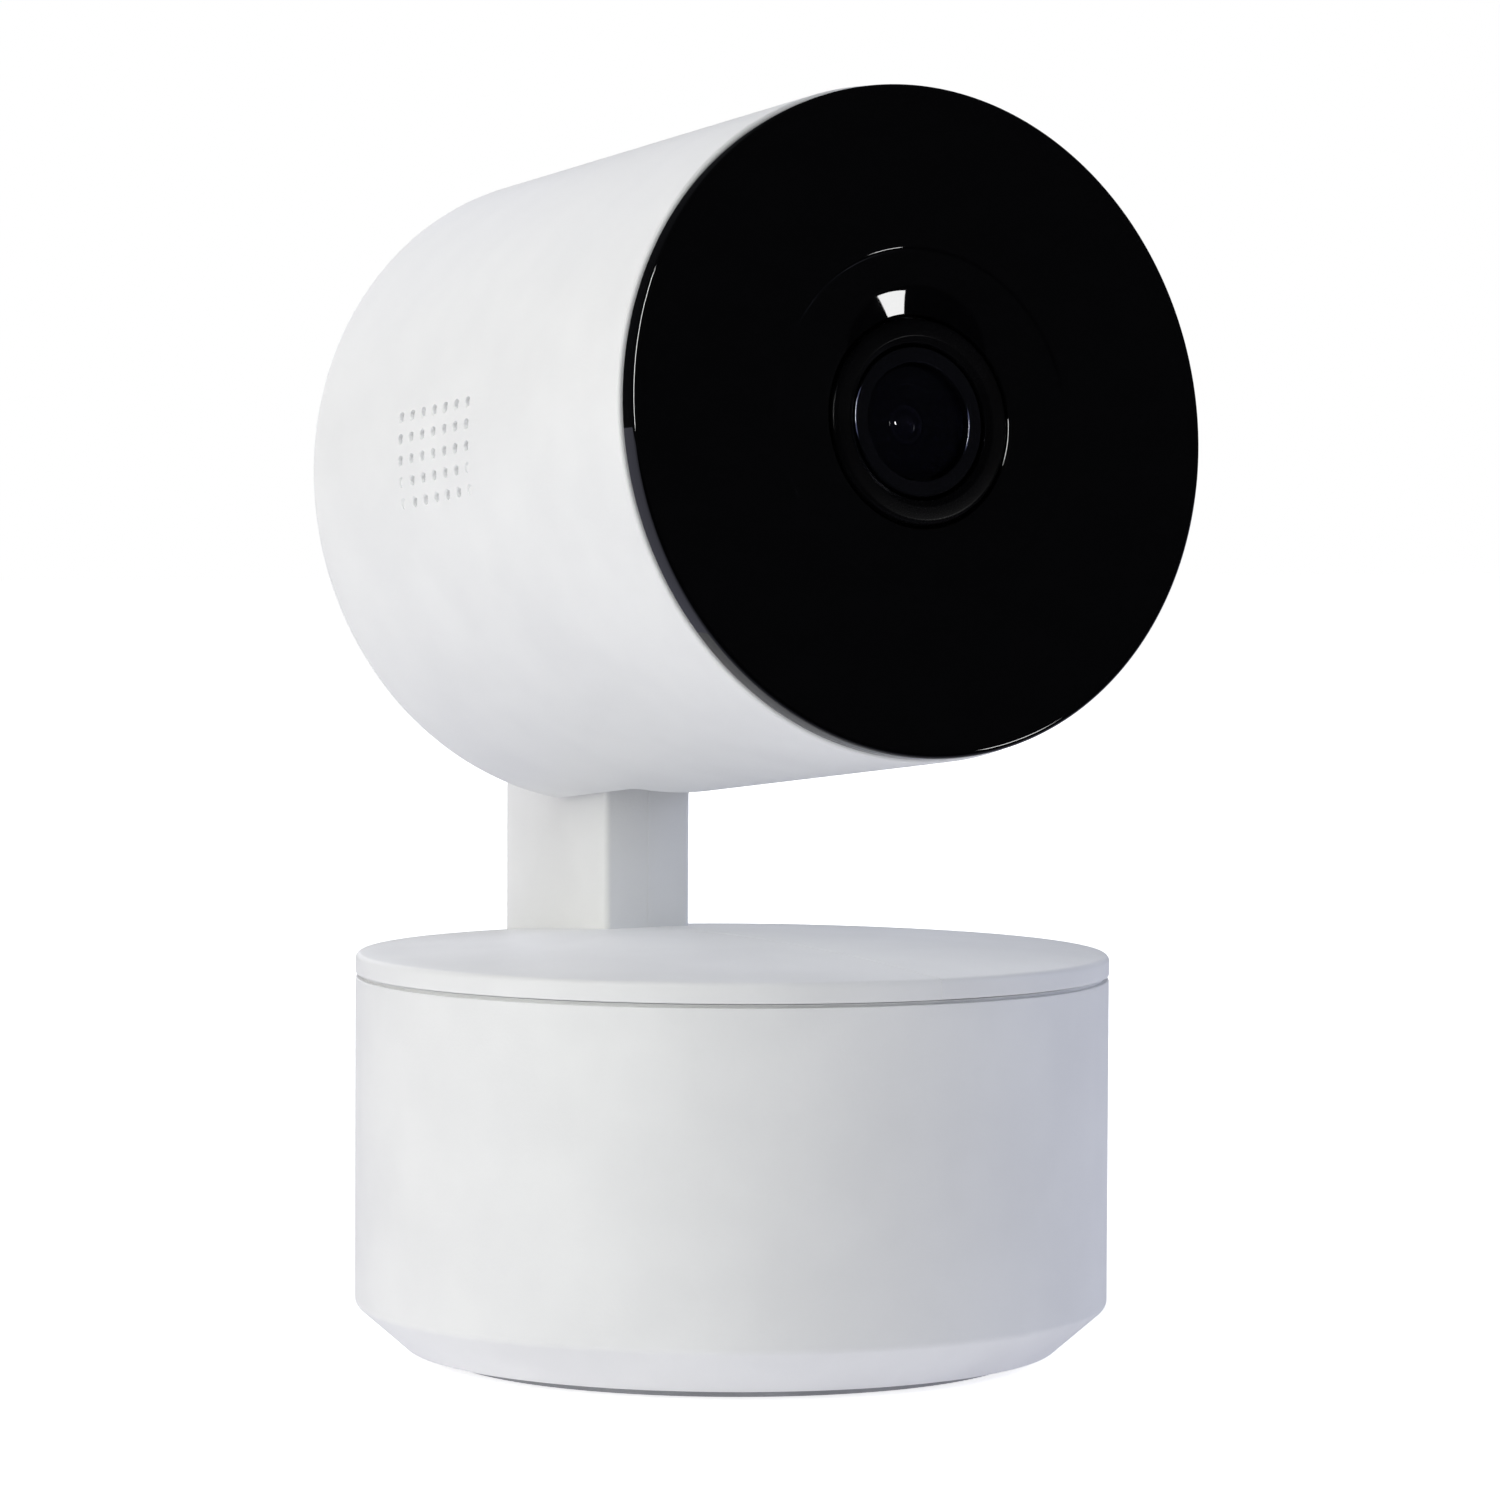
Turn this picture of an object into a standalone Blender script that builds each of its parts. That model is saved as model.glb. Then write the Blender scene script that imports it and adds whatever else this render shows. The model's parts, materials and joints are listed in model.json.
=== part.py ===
"""Pan-tilt indoor camera: a cylindrical head tilts on a stem, and the stem pans on a round base.

Run it with blender --background --python part.py, or from Blender's text editor. Units are metres, with +Z up.
The origin is the centre of the foot pad's underside, and the lens looks towards -Y, tilted up a little at rest.

Base and turntable pieces are placed in the row frame. Head pieces hang from the tilt_pivot empty, which sits on the
tilt axle and is turned by the resting tilt. Their places are written as (across, back, up): across is X, back is the
distance behind the head's front plane along the head's axis, and up is the height above that axis.
"""

import math

import bmesh
import bpy
from mathutils import Matrix, Vector

MM = 0.001
FULL_TURN = 2.0 * math.pi

# Clearances
GAP = 0.3 * MM
SCREW_HOLE_GAP = 0.25 * MM
RUNNING_GAP = 0.25 * MM

# Roundness, as sides of a circle
LARGE_SIDES = 48
MEDIUM_SIDES = 32
SMALL_SIDES = 20
SCREW_SIDES = 10
GRILLE_SIDES = 6

# Base
BASE_RADIUS = 34.0 * MM
BASE_WALL = 2.0 * MM
BASE_BOTTOM = 0.9 * MM
BASE_BOTTOM_RADIUS = 29.4 * MM
BASE_CHAMFER_TOP = 4.9 * MM
BASE_OPENING_RADIUS = 27.4 * MM
BASE_LEDGE_RADIUS = 30.8 * MM
BASE_LEDGE = 25.7 * MM
BASE_TOP = 34.3 * MM
POST_PLACES = [(x * MM, y * MM) for x in (-12.4, 12.4) for y in (-12.4, 12.4)]
POST_RADIUS = 3.0 * MM
DECK_BOTTOM = 26.0 * MM
DECK_TOP = 28.0 * MM
COVER_TOP = 3.0 * MM
SCREW_SEAT = 2.2 * MM
SCREW_SHANK = 1.0 * MM

# Turntable, stem and hub
CAP_BOTTOM = 34.65 * MM
CAP_RIM_TOP = 36.45 * MM
CAP_CROWN = 38.0 * MM
CAP_EDGE = 0.5 * MM
CAP_THICKNESS = 1.6 * MM
SEAM_HALF = 0.15 * MM
STEM_HALF_WIDTH = 4.6 * MM
STEM_FRONT = 14.85 * MM
STEM_REAR = 33.6 * MM
STEM_WALL = 1.6 * MM
STEM_EDGE = 0.6 * MM
EYE_RADIUS = 7.0 * MM
HUB_RADIUS = 7.0 * MM
HUB_BORE = 5.0 * MM
FLANGE_BOTTOM = 33.5 * MM
FLANGE_TOP = 34.9 * MM
HUB_BOTTOM = 22.0 * MM
HUB_GROOVE = (22.95 * MM, 23.85 * MM)
HUB_SCREW_X = 12.2 * MM
HUB_SCREW_HOLE = 1.15 * MM
PAN_GEAR_BOTTOM = 31.0 * MM

# Tilt axis and head
TILT_REST = math.radians(6.2)
AXLE_Y = 14.29 * MM
AXLE_Z = 66.71 * MM
AXLE_BACK = 45.0 * MM
AXLE_DROP = 12.5 * MM
AXLE_RADIUS = 1.6 * MM
BUSH_RADIUS = 2.6 * MM
HEAD_RADIUS = 29.3 * MM
HEAD_WALL = 2.0 * MM
HEAD_LENGTH = 56.0 * MM
HEAD_REAR_EDGE = 1.2 * MM
HEAD_INSIDE = HEAD_RADIUS - HEAD_WALL
SLOT_HALF_WIDTH = 5.4 * MM
SLOT_FRONT = 40.5 * MM
SLOT_TOP = -7.5 * MM
SLOT_CORNER = 1.0 * MM

# Front
PANEL_RADIUS = 29.05 * MM
PANEL_PROUD = 1.9 * MM
PANEL_EDGE = 1.2 * MM
DISH_RADIUS = 14.75 * MM
DISH_DEPTH = 1.0 * MM
PANEL_HOLE = 9.2 * MM
LENS_RING_RADIUS = 8.9 * MM

# Speaker grille
GRILLE_PITCH = 2.0 * MM
GRILLE_COLUMNS = 7
GRILLE_ROWS = 5
GRILLE_BACK = 32.35 * MM
GRILLE_UP = 1.0 * MM
GRILLE_HOLE = 0.42 * MM

# Gears
PRESSURE_ANGLE = math.radians(25.0)
ADDENDUM = 0.8
DEDENDUM = 1.05
BACKLASH = 0.12 * MM
PAN_MODULE = 0.6 * MM
PAN_TEETH = 48
PAN_PINION_TEETH = 12
TILT_MODULE = 0.5 * MM
TILT_TEETH = 30
TILT_PINION_TEETH = 12
TILT_MOTOR_DIRECTION = math.radians(143.13)
MOTOR_SHAFT_RADIUS = 0.75 * MM

# Ways to lay down a piece whose own Z is its thickness or its turning axis. POINTING_UP turns a screw over.
FACING_FRONT = (math.pi / 2, 0.0, 0.0)
FACING_LEFT = (0.0, -math.pi / 2, 0.0)
FACING_RIGHT = (0.0, math.pi / 2, 0.0)
SIDE_ON = (math.pi / 2, 0.0, math.pi / 2)
POINTING_UP = (math.pi, 0.0, 0.0)

# Each finish: colour, roughness, metallic
FINISHES = {
    "white_shell": ((0.84, 0.85, 0.86), 0.45, 0.0),
    "gloss_black": ((0.006, 0.006, 0.007), 0.06, 0.0),
    "satin_black": ((0.012, 0.012, 0.013), 0.35, 0.0),
    "grey_rubber": ((0.42, 0.43, 0.44), 0.85, 0.0),
    "grey_plastic": ((0.30, 0.31, 0.32), 0.55, 0.0),
    "acetal": ((0.88, 0.87, 0.82), 0.40, 0.0),
    "steel": ((0.62, 0.62, 0.62), 0.30, 1.0),
    "zinc_screw": ((0.50, 0.50, 0.50), 0.35, 1.0),
    "bronze": ((0.55, 0.36, 0.18), 0.45, 1.0),
    "circuit_board": ((0.02, 0.13, 0.06), 0.45, 0.0),
    "chip_black": ((0.02, 0.02, 0.022), 0.50, 0.0),
    "socket_metal": ((0.70, 0.70, 0.70), 0.28, 1.0),
    "lens_glass": ((0.03, 0.03, 0.05), 0.02, 0.0),
    "filter_glass": ((0.20, 0.30, 0.45), 0.05, 0.0),
    "led_lens": ((0.55, 0.55, 0.60), 0.15, 0.0),
    "flex_cable": ((0.80, 0.55, 0.15), 0.45, 0.0),
    "foam": ((0.05, 0.05, 0.05), 0.95, 0.0),
}


# ---------------------------------------------------------------- scene and materials


def clear_scene():
    for item in list(bpy.data.objects):
        bpy.data.objects.remove(item, do_unlink=True)


def new_collection(name):
    collection = bpy.data.collections.new(name)
    bpy.context.scene.collection.children.link(collection)
    return collection


def material(name):
    """The Principled material of this finish, made the first time it is asked for."""
    found = bpy.data.materials.get(name)
    if found:
        return found
    colour, roughness, metallic = FINISHES[name]
    made = bpy.data.materials.new(name)
    made.use_nodes = True
    made.diffuse_color = (*colour, 1.0)
    surface = made.node_tree.nodes["Principled BSDF"]
    surface.inputs["Base Color"].default_value = (*colour, 1.0)
    surface.inputs["Roughness"].default_value = roughness
    surface.inputs["Metallic"].default_value = metallic
    return made


clear_scene()
PARTS = new_collection("pan_tilt_camera")
CUTTERS = new_collection("cutters")


def pivot(name, location, tilt=0.0):
    """An empty on a joint's axis, which carries the pieces that turn or slide on it."""
    empty = bpy.data.objects.new(name, None)
    empty.empty_display_size = 5.0 * MM
    empty.location = location
    empty.rotation_euler = (-tilt, 0.0, 0.0)
    PARTS.objects.link(empty)
    return empty


TILT_PIVOT = pivot("tilt_pivot", (0.0, AXLE_Y, AXLE_Z), TILT_REST)
PAN_PIVOT = pivot("pan_pivot", (0.0, 0.0, 0.0))


def head_place(across, back, up):
    """A place in the head, as a location under tilt_pivot."""
    return (across, back - AXLE_BACK, up + AXLE_DROP)


def head_to_world(back, up):
    """(y, z) in the row frame of a place in the head at rest."""
    y = back - AXLE_BACK
    z = up + AXLE_DROP
    turned_y = y * math.cos(TILT_REST) + z * math.sin(TILT_REST)
    turned_z = z * math.cos(TILT_REST) - y * math.sin(TILT_REST)
    return AXLE_Y + turned_y, AXLE_Z + turned_z


HEAD_FRONT = head_place(0.0, 0.0, 0.0)


# ---------------------------------------------------------------- shape tools


def place(item, location=(0.0, 0.0, 0.0), rotation=(0.0, 0.0, 0.0), parent=None):
    item.location = location
    item.rotation_euler = rotation
    item.parent = parent
    return item


def piece(name, data, finish):
    """A visible object of this mesh or curve, in its finish."""
    item = bpy.data.objects.new(name, data)
    data.materials.append(material(finish))
    PARTS.objects.link(item)
    return item


def helper(name, data):
    """A cutter, or a shape that a Boolean joins to another."""
    item = bpy.data.objects.new(name, data)
    item.hide_render = True
    item.display_type = "WIRE"
    CUTTERS.objects.link(item)
    return item


def mesh_of(name, build):
    """A mesh filled by build, which gets an empty bmesh."""
    mesh = bpy.data.meshes.new(name)
    work = bmesh.new()
    build(work)
    work.to_mesh(mesh)
    work.free()
    return mesh


def box_mesh(name, size):
    matrix = Matrix.Diagonal((*size, 1.0))
    return mesh_of(name, lambda work: bmesh.ops.create_cube(work, size=1.0, matrix=matrix))


def rod_mesh(name, radius, length, sides, centres=((0.0, 0.0),)):
    """Cylinders along Z, centred on Z = 0, one at each (x, y) centre."""

    def build(work):
        for x, y in centres:
            bmesh.ops.create_cone(
                work,
                cap_ends=True,
                segments=sides,
                radius1=radius,
                radius2=radius,
                depth=length,
                matrix=Matrix.Translation((x, y, 0.0)),
            )

    return mesh_of(name, build)


def profile_mesh(name, profile):
    """A turned shape's edge line, from (radius, height) points. It closes itself unless it starts on the axis."""
    count = len(profile)
    edges = [(i, i + 1) for i in range(count - 1)]
    if profile[0][0] > 0.0:
        edges.append((count - 1, 0))
    mesh = bpy.data.meshes.new(name)
    mesh.from_pydata([(radius, 0.0, height) for radius, height in profile], edges, [])
    return mesh


def spin(item, sides):
    """Turns a profile about the item's Z axis."""
    screw = item.modifiers.new("turned", "SCREW")
    screw.axis = "Z"
    screw.angle = FULL_TURN
    screw.steps = sides
    screw.render_steps = sides
    screw.use_merge_vertices = True
    screw.merge_threshold = 0.00001
    screw.use_smooth_shade = True
    return item


def turned(name, profile, sides, finish):
    return spin(piece(name, profile_mesh(name, profile), finish), sides)


def plate_curve(name, loops, thickness):
    """A flat curve filled between its outline and its holes, thick along Z."""
    curve = bpy.data.curves.new(name, "CURVE")
    curve.dimensions = "2D"
    curve.fill_mode = "BOTH"
    curve.extrude = thickness / 2.0
    for loop in loops:
        spline = curve.splines.new("POLY")
        spline.points.add(len(loop) - 1)
        for point, (x, y) in zip(spline.points, loop):
            point.co = (x, y, 0.0, 1.0)
        spline.use_cyclic_u = True
    return curve


def plate(name, loops, thickness, finish):
    return piece(name, plate_curve(name, loops, thickness), finish)


def plate_mesh(name, loops, thickness):
    """The same plate as a mesh, for a piece that is cut or joined."""
    item = bpy.data.objects.new(name, plate_curve(name, loops, thickness))
    CUTTERS.objects.link(item)
    graph = bpy.context.evaluated_depsgraph_get()
    mesh = bpy.data.meshes.new_from_object(item.evaluated_get(graph))
    bpy.data.objects.remove(item)
    work = bmesh.new()
    work.from_mesh(mesh)
    bmesh.ops.remove_doubles(work, verts=work.verts, dist=0.000001)
    bmesh.ops.recalc_face_normals(work, faces=work.faces)
    work.to_mesh(mesh)
    work.free()
    return mesh


def boolean(item, other, operation):
    change = item.modifiers.new(other.name, "BOOLEAN")
    change.operation = operation
    change.object = other
    change.solver = "EXACT"


def cut(item, *cutters):
    for cutter in cutters:
        boolean(item, cutter, "DIFFERENCE")


def join(item, *others):
    for other in others:
        boolean(item, other, "UNION")


def bevel(item, width, segments=1):
    edge = item.modifiers.new("edges", "BEVEL")
    edge.width = width
    edge.segments = segments
    edge.limit_method = "ANGLE"
    edge.angle_limit = math.radians(60.0)
    return item


def arc(centre, radius, start, end, steps):
    """Points on an arc, from the start angle to the end angle in degrees, both ends included."""
    angles = [math.radians(start + (end - start) * i / steps) for i in range(steps + 1)]
    return [(centre[0] + radius * math.cos(a), centre[1] + radius * math.sin(a)) for a in angles]


def circle(centre, radius, sides):
    return arc(centre, radius, 0.0, 360.0, sides)[:-1]


def rectangle(x, y):
    """The corners of a rectangle from its (low, high) in each direction."""
    return [(x[0], y[0]), (x[1], y[0]), (x[1], y[1]), (x[0], y[1])]


def block(name, x, y, z, finish=None):
    """A box from its (low, high) in each direction, centred on its own origin. Without a finish it is a helper."""
    size = tuple(high - low for low, high in (x, y, z))
    centre = tuple((high + low) / 2.0 for low, high in (x, y, z))
    mesh = box_mesh(name, size)
    item = piece(name, mesh, finish) if finish else helper(name, mesh)
    return place(item, centre)


def head_block(name, across, back, up, finish=None):
    """A box in the head, from its (low, high) across, back and up."""
    item = block(name, across, back, up, finish)
    item.location = head_place(*item.location)
    item.parent = TILT_PIVOT
    return item


def head_turned(name, profile, sides, finish):
    """A piece turned about the head's axis. A profile's heights are distances in front of the front plane."""
    return place(turned(name, profile, sides, finish), HEAD_FRONT, FACING_FRONT, TILT_PIVOT)


def screw_profile(head_radius, head_height, shank_radius, length):
    """A pan-head screw that points down, with the underside of its head at height 0 and a driver recess on top."""
    recess = 0.45 * head_radius
    return [
        (0.0, 0.4 * head_height),
        (recess, 0.4 * head_height),
        (recess, head_height),
        (0.75 * head_radius, head_height),
        (head_radius, 0.5 * head_height),
        (head_radius, 0.0),
        (shank_radius, 0.0),
        (shank_radius, 0.7 * shank_radius - length),
        (0.0, -length),
    ]


def gear_outline(teeth, module, phase):
    """A spur gear's outline with a tooth centred on the phase angle. Each flank is the chord of its involute."""
    pitch_radius = teeth * module / 2.0
    base_radius = pitch_radius * math.cos(PRESSURE_ANGLE)
    tip_radius = pitch_radius + ADDENDUM * module
    root_radius = pitch_radius - DEDENDUM * module
    form_radius = max(base_radius, root_radius)
    half_at_pitch = math.pi / (2.0 * teeth) - BACKLASH / (4.0 * pitch_radius)

    def involute(radius):
        angle = math.acos(min(1.0, base_radius / radius))
        return math.tan(angle) - angle

    def half_angle(radius):
        return half_at_pitch + involute(pitch_radius) - involute(radius)

    stations = [(root_radius, form_radius), (tip_radius, tip_radius)]
    points = []
    for tooth in range(teeth):
        centre = phase + FULL_TURN * tooth / teeth
        flank = [(radius, half_angle(station)) for radius, station in stations]
        for radius, half in flank:
            points.append((radius * math.cos(centre - half), radius * math.sin(centre - half)))
        for radius, half in reversed(flank):
            points.append((radius * math.cos(centre + half), radius * math.sin(centre + half)))
    return points


def motor(name, can_radius, can_length, ear_distance, ear_angle, boss_height):
    """A small stepper motor with its shaft hole up, and its ears to be placed with it. Its face is at height 0."""
    boss_radius = 2.6 * MM
    bore_radius = 1.05 * MM
    bore_depth = 3.2 * MM
    ear_thickness = 0.8 * MM
    ear_radius = 2.0 * MM
    profile = [
        (0.0, -bore_depth),
        (bore_radius, -bore_depth),
        (bore_radius, boss_height),
        (boss_radius, boss_height),
        (boss_radius, 0.0),
        (can_radius, 0.0),
        (can_radius, -can_length),
        (0.0, -can_length),
    ]
    item = turned(name, profile, SMALL_SIDES, "steel")
    turn = Matrix.Rotation(ear_angle, 2)
    outline = arc((ear_distance, 0.0), ear_radius, -90.0, 90.0, 5)
    outline += arc((-ear_distance, 0.0), ear_radius, 90.0, 270.0, 5)
    outline = [tuple(turn @ Vector(point)) for point in outline]
    ring = circle((0.0, 0.0), bore_radius + GAP, SMALL_SIDES)
    ears = helper(name + "_ears", plate_mesh(name + "_ears", [outline, ring], ear_thickness))
    for vertex in ears.data.vertices:
        vertex.co.z -= 0.6 * ear_thickness
    join(item, ears)
    return item, ears


# ---------------------------------------------------------------- base


def foot_pad():
    inner = 21.5 * MM
    outer = 26.4 * MM
    top = 1.7 * MM
    edge = 0.3 * MM
    profile = [(inner, top), (outer, top), (outer, edge), (outer - edge, 0.0), (inner, 0.0)]
    return turned("foot_pad", profile, LARGE_SIDES, "grey_rubber")


def post_screw_holes():
    """Cutter of the four screw holes that run through the cover into the posts."""
    length = 24.0 * MM
    mesh = rod_mesh("post_screw_holes", SCREW_SHANK + SCREW_HOLE_GAP, length, SCREW_SIDES, POST_PLACES)
    return helper("post_screw_holes", mesh)


def bottom_cover(screw_holes):
    groove_inner = 21.2 * MM
    groove_outer = 26.7 * MM
    groove_top = 2.0 * MM
    sink_radius = 2.3 * MM
    sink_length = 2.8 * MM
    radius = BASE_OPENING_RADIUS - GAP
    profile = [
        (0.0, COVER_TOP),
        (radius, COVER_TOP),
        (radius, BASE_BOTTOM),
        (groove_outer, BASE_BOTTOM),
        (groove_outer, groove_top),
        (groove_inner, groove_top),
        (groove_inner, BASE_BOTTOM),
        (0.0, BASE_BOTTOM),
    ]
    item = turned("bottom_cover", profile, LARGE_SIDES, "white_shell")
    mesh = rod_mesh("screw_head_sinks", sink_radius, sink_length, SCREW_SIDES, POST_PLACES)
    sinks = place(helper("screw_head_sinks", mesh), (0.0, 0.0, SCREW_SEAT - sink_length / 2.0))
    cut(item, sinks, screw_holes)
    return item


def base_screws():
    profile = screw_profile(
        head_radius=2.0 * MM, head_height=1.0 * MM, shank_radius=SCREW_SHANK, length=9.0 * MM
    )
    for number, (x, y) in enumerate(POST_PLACES, start=1):
        item = turned(f"base_screw_{number}", profile, SCREW_SIDES, "zinc_screw")
        place(item, (x, y, SCREW_SEAT - GAP), POINTING_UP)


def base_shell():
    edge = 0.4 * MM
    step_bottom = 3.8 * MM
    step_top = 6.6 * MM
    inner = BASE_RADIUS - BASE_WALL
    profile = [
        (inner, BASE_TOP),
        (BASE_RADIUS - edge, BASE_TOP),
        (BASE_RADIUS, BASE_TOP - edge),
        (BASE_RADIUS, BASE_CHAMFER_TOP),
        (BASE_BOTTOM_RADIUS, BASE_BOTTOM),
        (BASE_OPENING_RADIUS, BASE_BOTTOM),
        (BASE_OPENING_RADIUS, step_bottom),
        (BASE_LEDGE_RADIUS, step_top),
        (BASE_LEDGE_RADIUS, BASE_LEDGE),
        (inner, BASE_LEDGE),
    ]
    item = turned("base_shell", profile, LARGE_SIDES, "white_shell")
    socket_opening = block(
        "socket_opening", x=(-5.3 * MM, 5.3 * MM), y=(28.0 * MM, 36.0 * MM), z=(8.7 * MM, 13.5 * MM)
    )
    cut(item, bevel(socket_opening, width=1.2 * MM, segments=2))
    return item


def base_deck(screw_holes):
    """The plate with the pan motor and the hub's bearing collar, on four posts that take the cover's screws."""
    rim = BASE_RADIUS - BASE_WALL - GAP
    bearing = HUB_RADIUS + RUNNING_GAP
    collar = 9.0 * MM
    collar_top = 30.2 * MM
    collar_bottom = 24.0 * MM
    profile = [
        (bearing, collar_top),
        (collar, collar_top),
        (collar, DECK_TOP),
        (rim, DECK_TOP),
        (rim, DECK_BOTTOM),
        (collar, DECK_BOTTOM),
        (collar, collar_bottom),
        (bearing, collar_bottom),
    ]
    item = turned("base_deck", profile, LARGE_SIDES, "grey_plastic")
    post_bottom = COVER_TOP + GAP
    post_top = (DECK_BOTTOM + DECK_TOP) / 2.0
    length = post_top - post_bottom
    posts = helper("deck_posts", rod_mesh("deck_posts", POST_RADIUS, length, SMALL_SIDES, POST_PLACES))
    place(posts, (0.0, 0.0, post_bottom + length / 2.0))
    mesh = rod_mesh("pan_shaft_hole", radius=3.0 * MM, length=8.0 * MM, sides=SMALL_SIDES)
    shaft_hole = place(helper("pan_shaft_hole", mesh), (0.0, -pan_centre_distance(), DECK_TOP))
    join(item, posts)
    cut(item, shaft_hole, screw_holes)
    return item


def pan_centre_distance():
    return PAN_MODULE * (PAN_TEETH + PAN_PINION_TEETH) / 2.0


def pan_motor():
    """The base's stepper motor, hung under the deck with its shaft pointing up."""
    can_and_ears = motor(
        "pan_motor",
        can_radius=8.5 * MM,
        can_length=14.0 * MM,
        ear_distance=11.2 * MM,
        ear_angle=0.0,
        boss_height=0.8 * MM,
    )
    for item in can_and_ears:
        place(item, (0.0, -pan_centre_distance(), DECK_BOTTOM - GAP))


def base_board():
    """The power board under the socket, with a hole for the cable's plug."""
    half = 8.4 * MM
    item = block(
        "base_board", x=(-half, half), y=(7.5 * MM, 29.2 * MM), z=(8.0 * MM, 9.2 * MM), finish="circuit_board"
    )
    mesh = rod_mesh("board_hole", radius=1.5 * MM, length=4.0 * MM, sides=SCREW_SIDES)
    cut(item, place(helper("board_hole", mesh), (0.0, 12.0 * MM, 8.6 * MM)))
    return item


def usb_socket():
    """The power socket, hollow towards the rear and with a contact tongue inside."""
    item = block(
        "usb_socket",
        x=(-4.5 * MM, 4.5 * MM),
        y=(25.6 * MM, 33.4 * MM),
        z=(9.5 * MM, 12.7 * MM),
        finish="socket_metal",
    )
    mouth = block("usb_mouth", x=(-4.1 * MM, 4.1 * MM), y=(27.6 * MM, 34.6 * MM), z=(9.9 * MM, 12.3 * MM))
    tongue = block("usb_tongue", x=(-3.2 * MM, 3.2 * MM), y=(27.0 * MM, 32.6 * MM), z=(10.8 * MM, 11.4 * MM))
    bevel(item, width=1.3 * MM, segments=2)
    cut(item, bevel(mouth, width=1.0 * MM, segments=2))
    join(item, tongue)
    return item


# ---------------------------------------------------------------- turntable


def cap_height(radius):
    """The cap's shallow dome."""
    rise = CAP_CROWN - CAP_RIM_TOP
    return CAP_CROWN - rise * (radius / BASE_RADIUS) ** 2


def cap_profile():
    """The domed cap, 1.6 mm thick, with a deeper rim."""
    rim_inner = 31.4 * MM
    stations = [0.0, 8.0 * MM, 16.0 * MM, 24.0 * MM, 30.0 * MM]
    outside = [(radius, cap_height(radius)) for radius in stations]
    outside.append((BASE_RADIUS - CAP_EDGE, cap_height(BASE_RADIUS - CAP_EDGE)))
    outside.append((BASE_RADIUS, CAP_RIM_TOP - CAP_EDGE))
    under = [(radius, cap_height(radius) - CAP_THICKNESS) for radius in reversed(stations)]
    return outside + [(BASE_RADIUS, CAP_BOTTOM), (rim_inner, CAP_BOTTOM)] + under


def stem_outline():
    """The stem's side view, as (y, z): a straight post, a round shoulder behind the head and an eye on the axle."""
    foot_front = (STEM_FRONT, 36.9 * MM)
    foot_rear = (STEM_REAR, 35.8 * MM)
    shoulder = 7.0 * MM
    shoulder_start = 50.0 * MM
    chin = (STEM_FRONT, 54.0 * MM)
    axle = (AXLE_Y, AXLE_Z)
    neck_rear = (AXLE_Y + EYE_RADIUS, 61.0 * MM)
    neck_front = (AXLE_Y - EYE_RADIUS, 63.0 * MM)
    return (
        [foot_front, foot_rear]
        + arc((STEM_REAR - shoulder, shoulder_start), shoulder, 0.0, 90.0, 6)
        + [neck_rear]
        + arc(axle, EYE_RADIUS, 0.0, 180.0, 12)
        + [neck_front, chin]
    )


def stem_hollow_outline():
    """The cable's way up the stem, as (y, z): straight sides under a roof that follows the shoulder and eye."""
    front = STEM_FRONT + STEM_WALL
    rear = STEM_REAR - STEM_WALL
    low = 33.0 * MM
    rear_top = 49.8 * MM
    front_top = 52.0 * MM
    under_shoulder = (26.4 * MM, 55.2 * MM)
    under_eye = (17.2 * MM, 56.2 * MM)
    return [(front, low), (rear, low), (rear, rear_top), under_shoulder, under_eye, (front, front_top)]


STEM_SCREW_Y = 14.3 * MM
STEM_SCREW_Z = 58.7 * MM


def turntable_cutters():
    """The tools that shape both halves: the stem, its hollow, the axle's bore and the screws' holes and bosses."""
    stem = helper("stem_body", plate_mesh("stem_body", [stem_outline()], 2.0 * STEM_HALF_WIDTH))
    place(bevel(stem, STEM_EDGE), rotation=SIDE_ON)
    hollow_width = 2.0 * (STEM_HALF_WIDTH - STEM_WALL)
    hollow = helper("stem_hollow", plate_mesh("stem_hollow", [stem_hollow_outline()], hollow_width))
    place(hollow, rotation=SIDE_ON)
    mesh = rod_mesh("axle_bore", AXLE_RADIUS + RUNNING_GAP, length=12.0 * MM, sides=SMALL_SIDES)
    axle_bore = place(helper("axle_bore", mesh), (0.0, AXLE_Y, AXLE_Z), FACING_RIGHT)
    mesh = rod_mesh("stem_shank_hole", radius=1.05 * MM, length=7.4 * MM, sides=SCREW_SIDES)
    shank_hole = place(helper("stem_shank_hole", mesh), (0.0, STEM_SCREW_Y, STEM_SCREW_Z), FACING_RIGHT)
    mesh = rod_mesh("stem_head_hole", radius=1.9 * MM, length=4.0 * MM, sides=SCREW_SIDES)
    head_hole_x = -STEM_HALF_WIDTH - 0.2 * MM
    head_hole = place(helper("stem_head_hole", mesh), (head_hole_x, STEM_SCREW_Y, STEM_SCREW_Z), FACING_RIGHT)
    boss_low = FLANGE_TOP + GAP
    boss_high = 37.0 * MM
    boss_radius = 2.6 * MM
    centres = ((-HUB_SCREW_X, 0.0), (HUB_SCREW_X, 0.0))
    mesh = rod_mesh("cap_bosses", boss_radius, boss_high - boss_low, SMALL_SIDES, centres)
    bosses = place(helper("cap_bosses", mesh), (0.0, 0.0, (boss_low + boss_high) / 2.0))
    hole_low = 29.1 * MM
    hole_high = 37.1 * MM
    mesh = rod_mesh("hub_screw_holes", HUB_SCREW_HOLE, hole_high - hole_low, SCREW_SIDES, centres)
    hub_holes = place(helper("hub_screw_holes", mesh), (0.0, 0.0, (hole_low + hole_high) / 2.0))
    return [stem, bosses], [hollow, axle_bore, shank_hole, head_hole, hub_holes]


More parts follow.
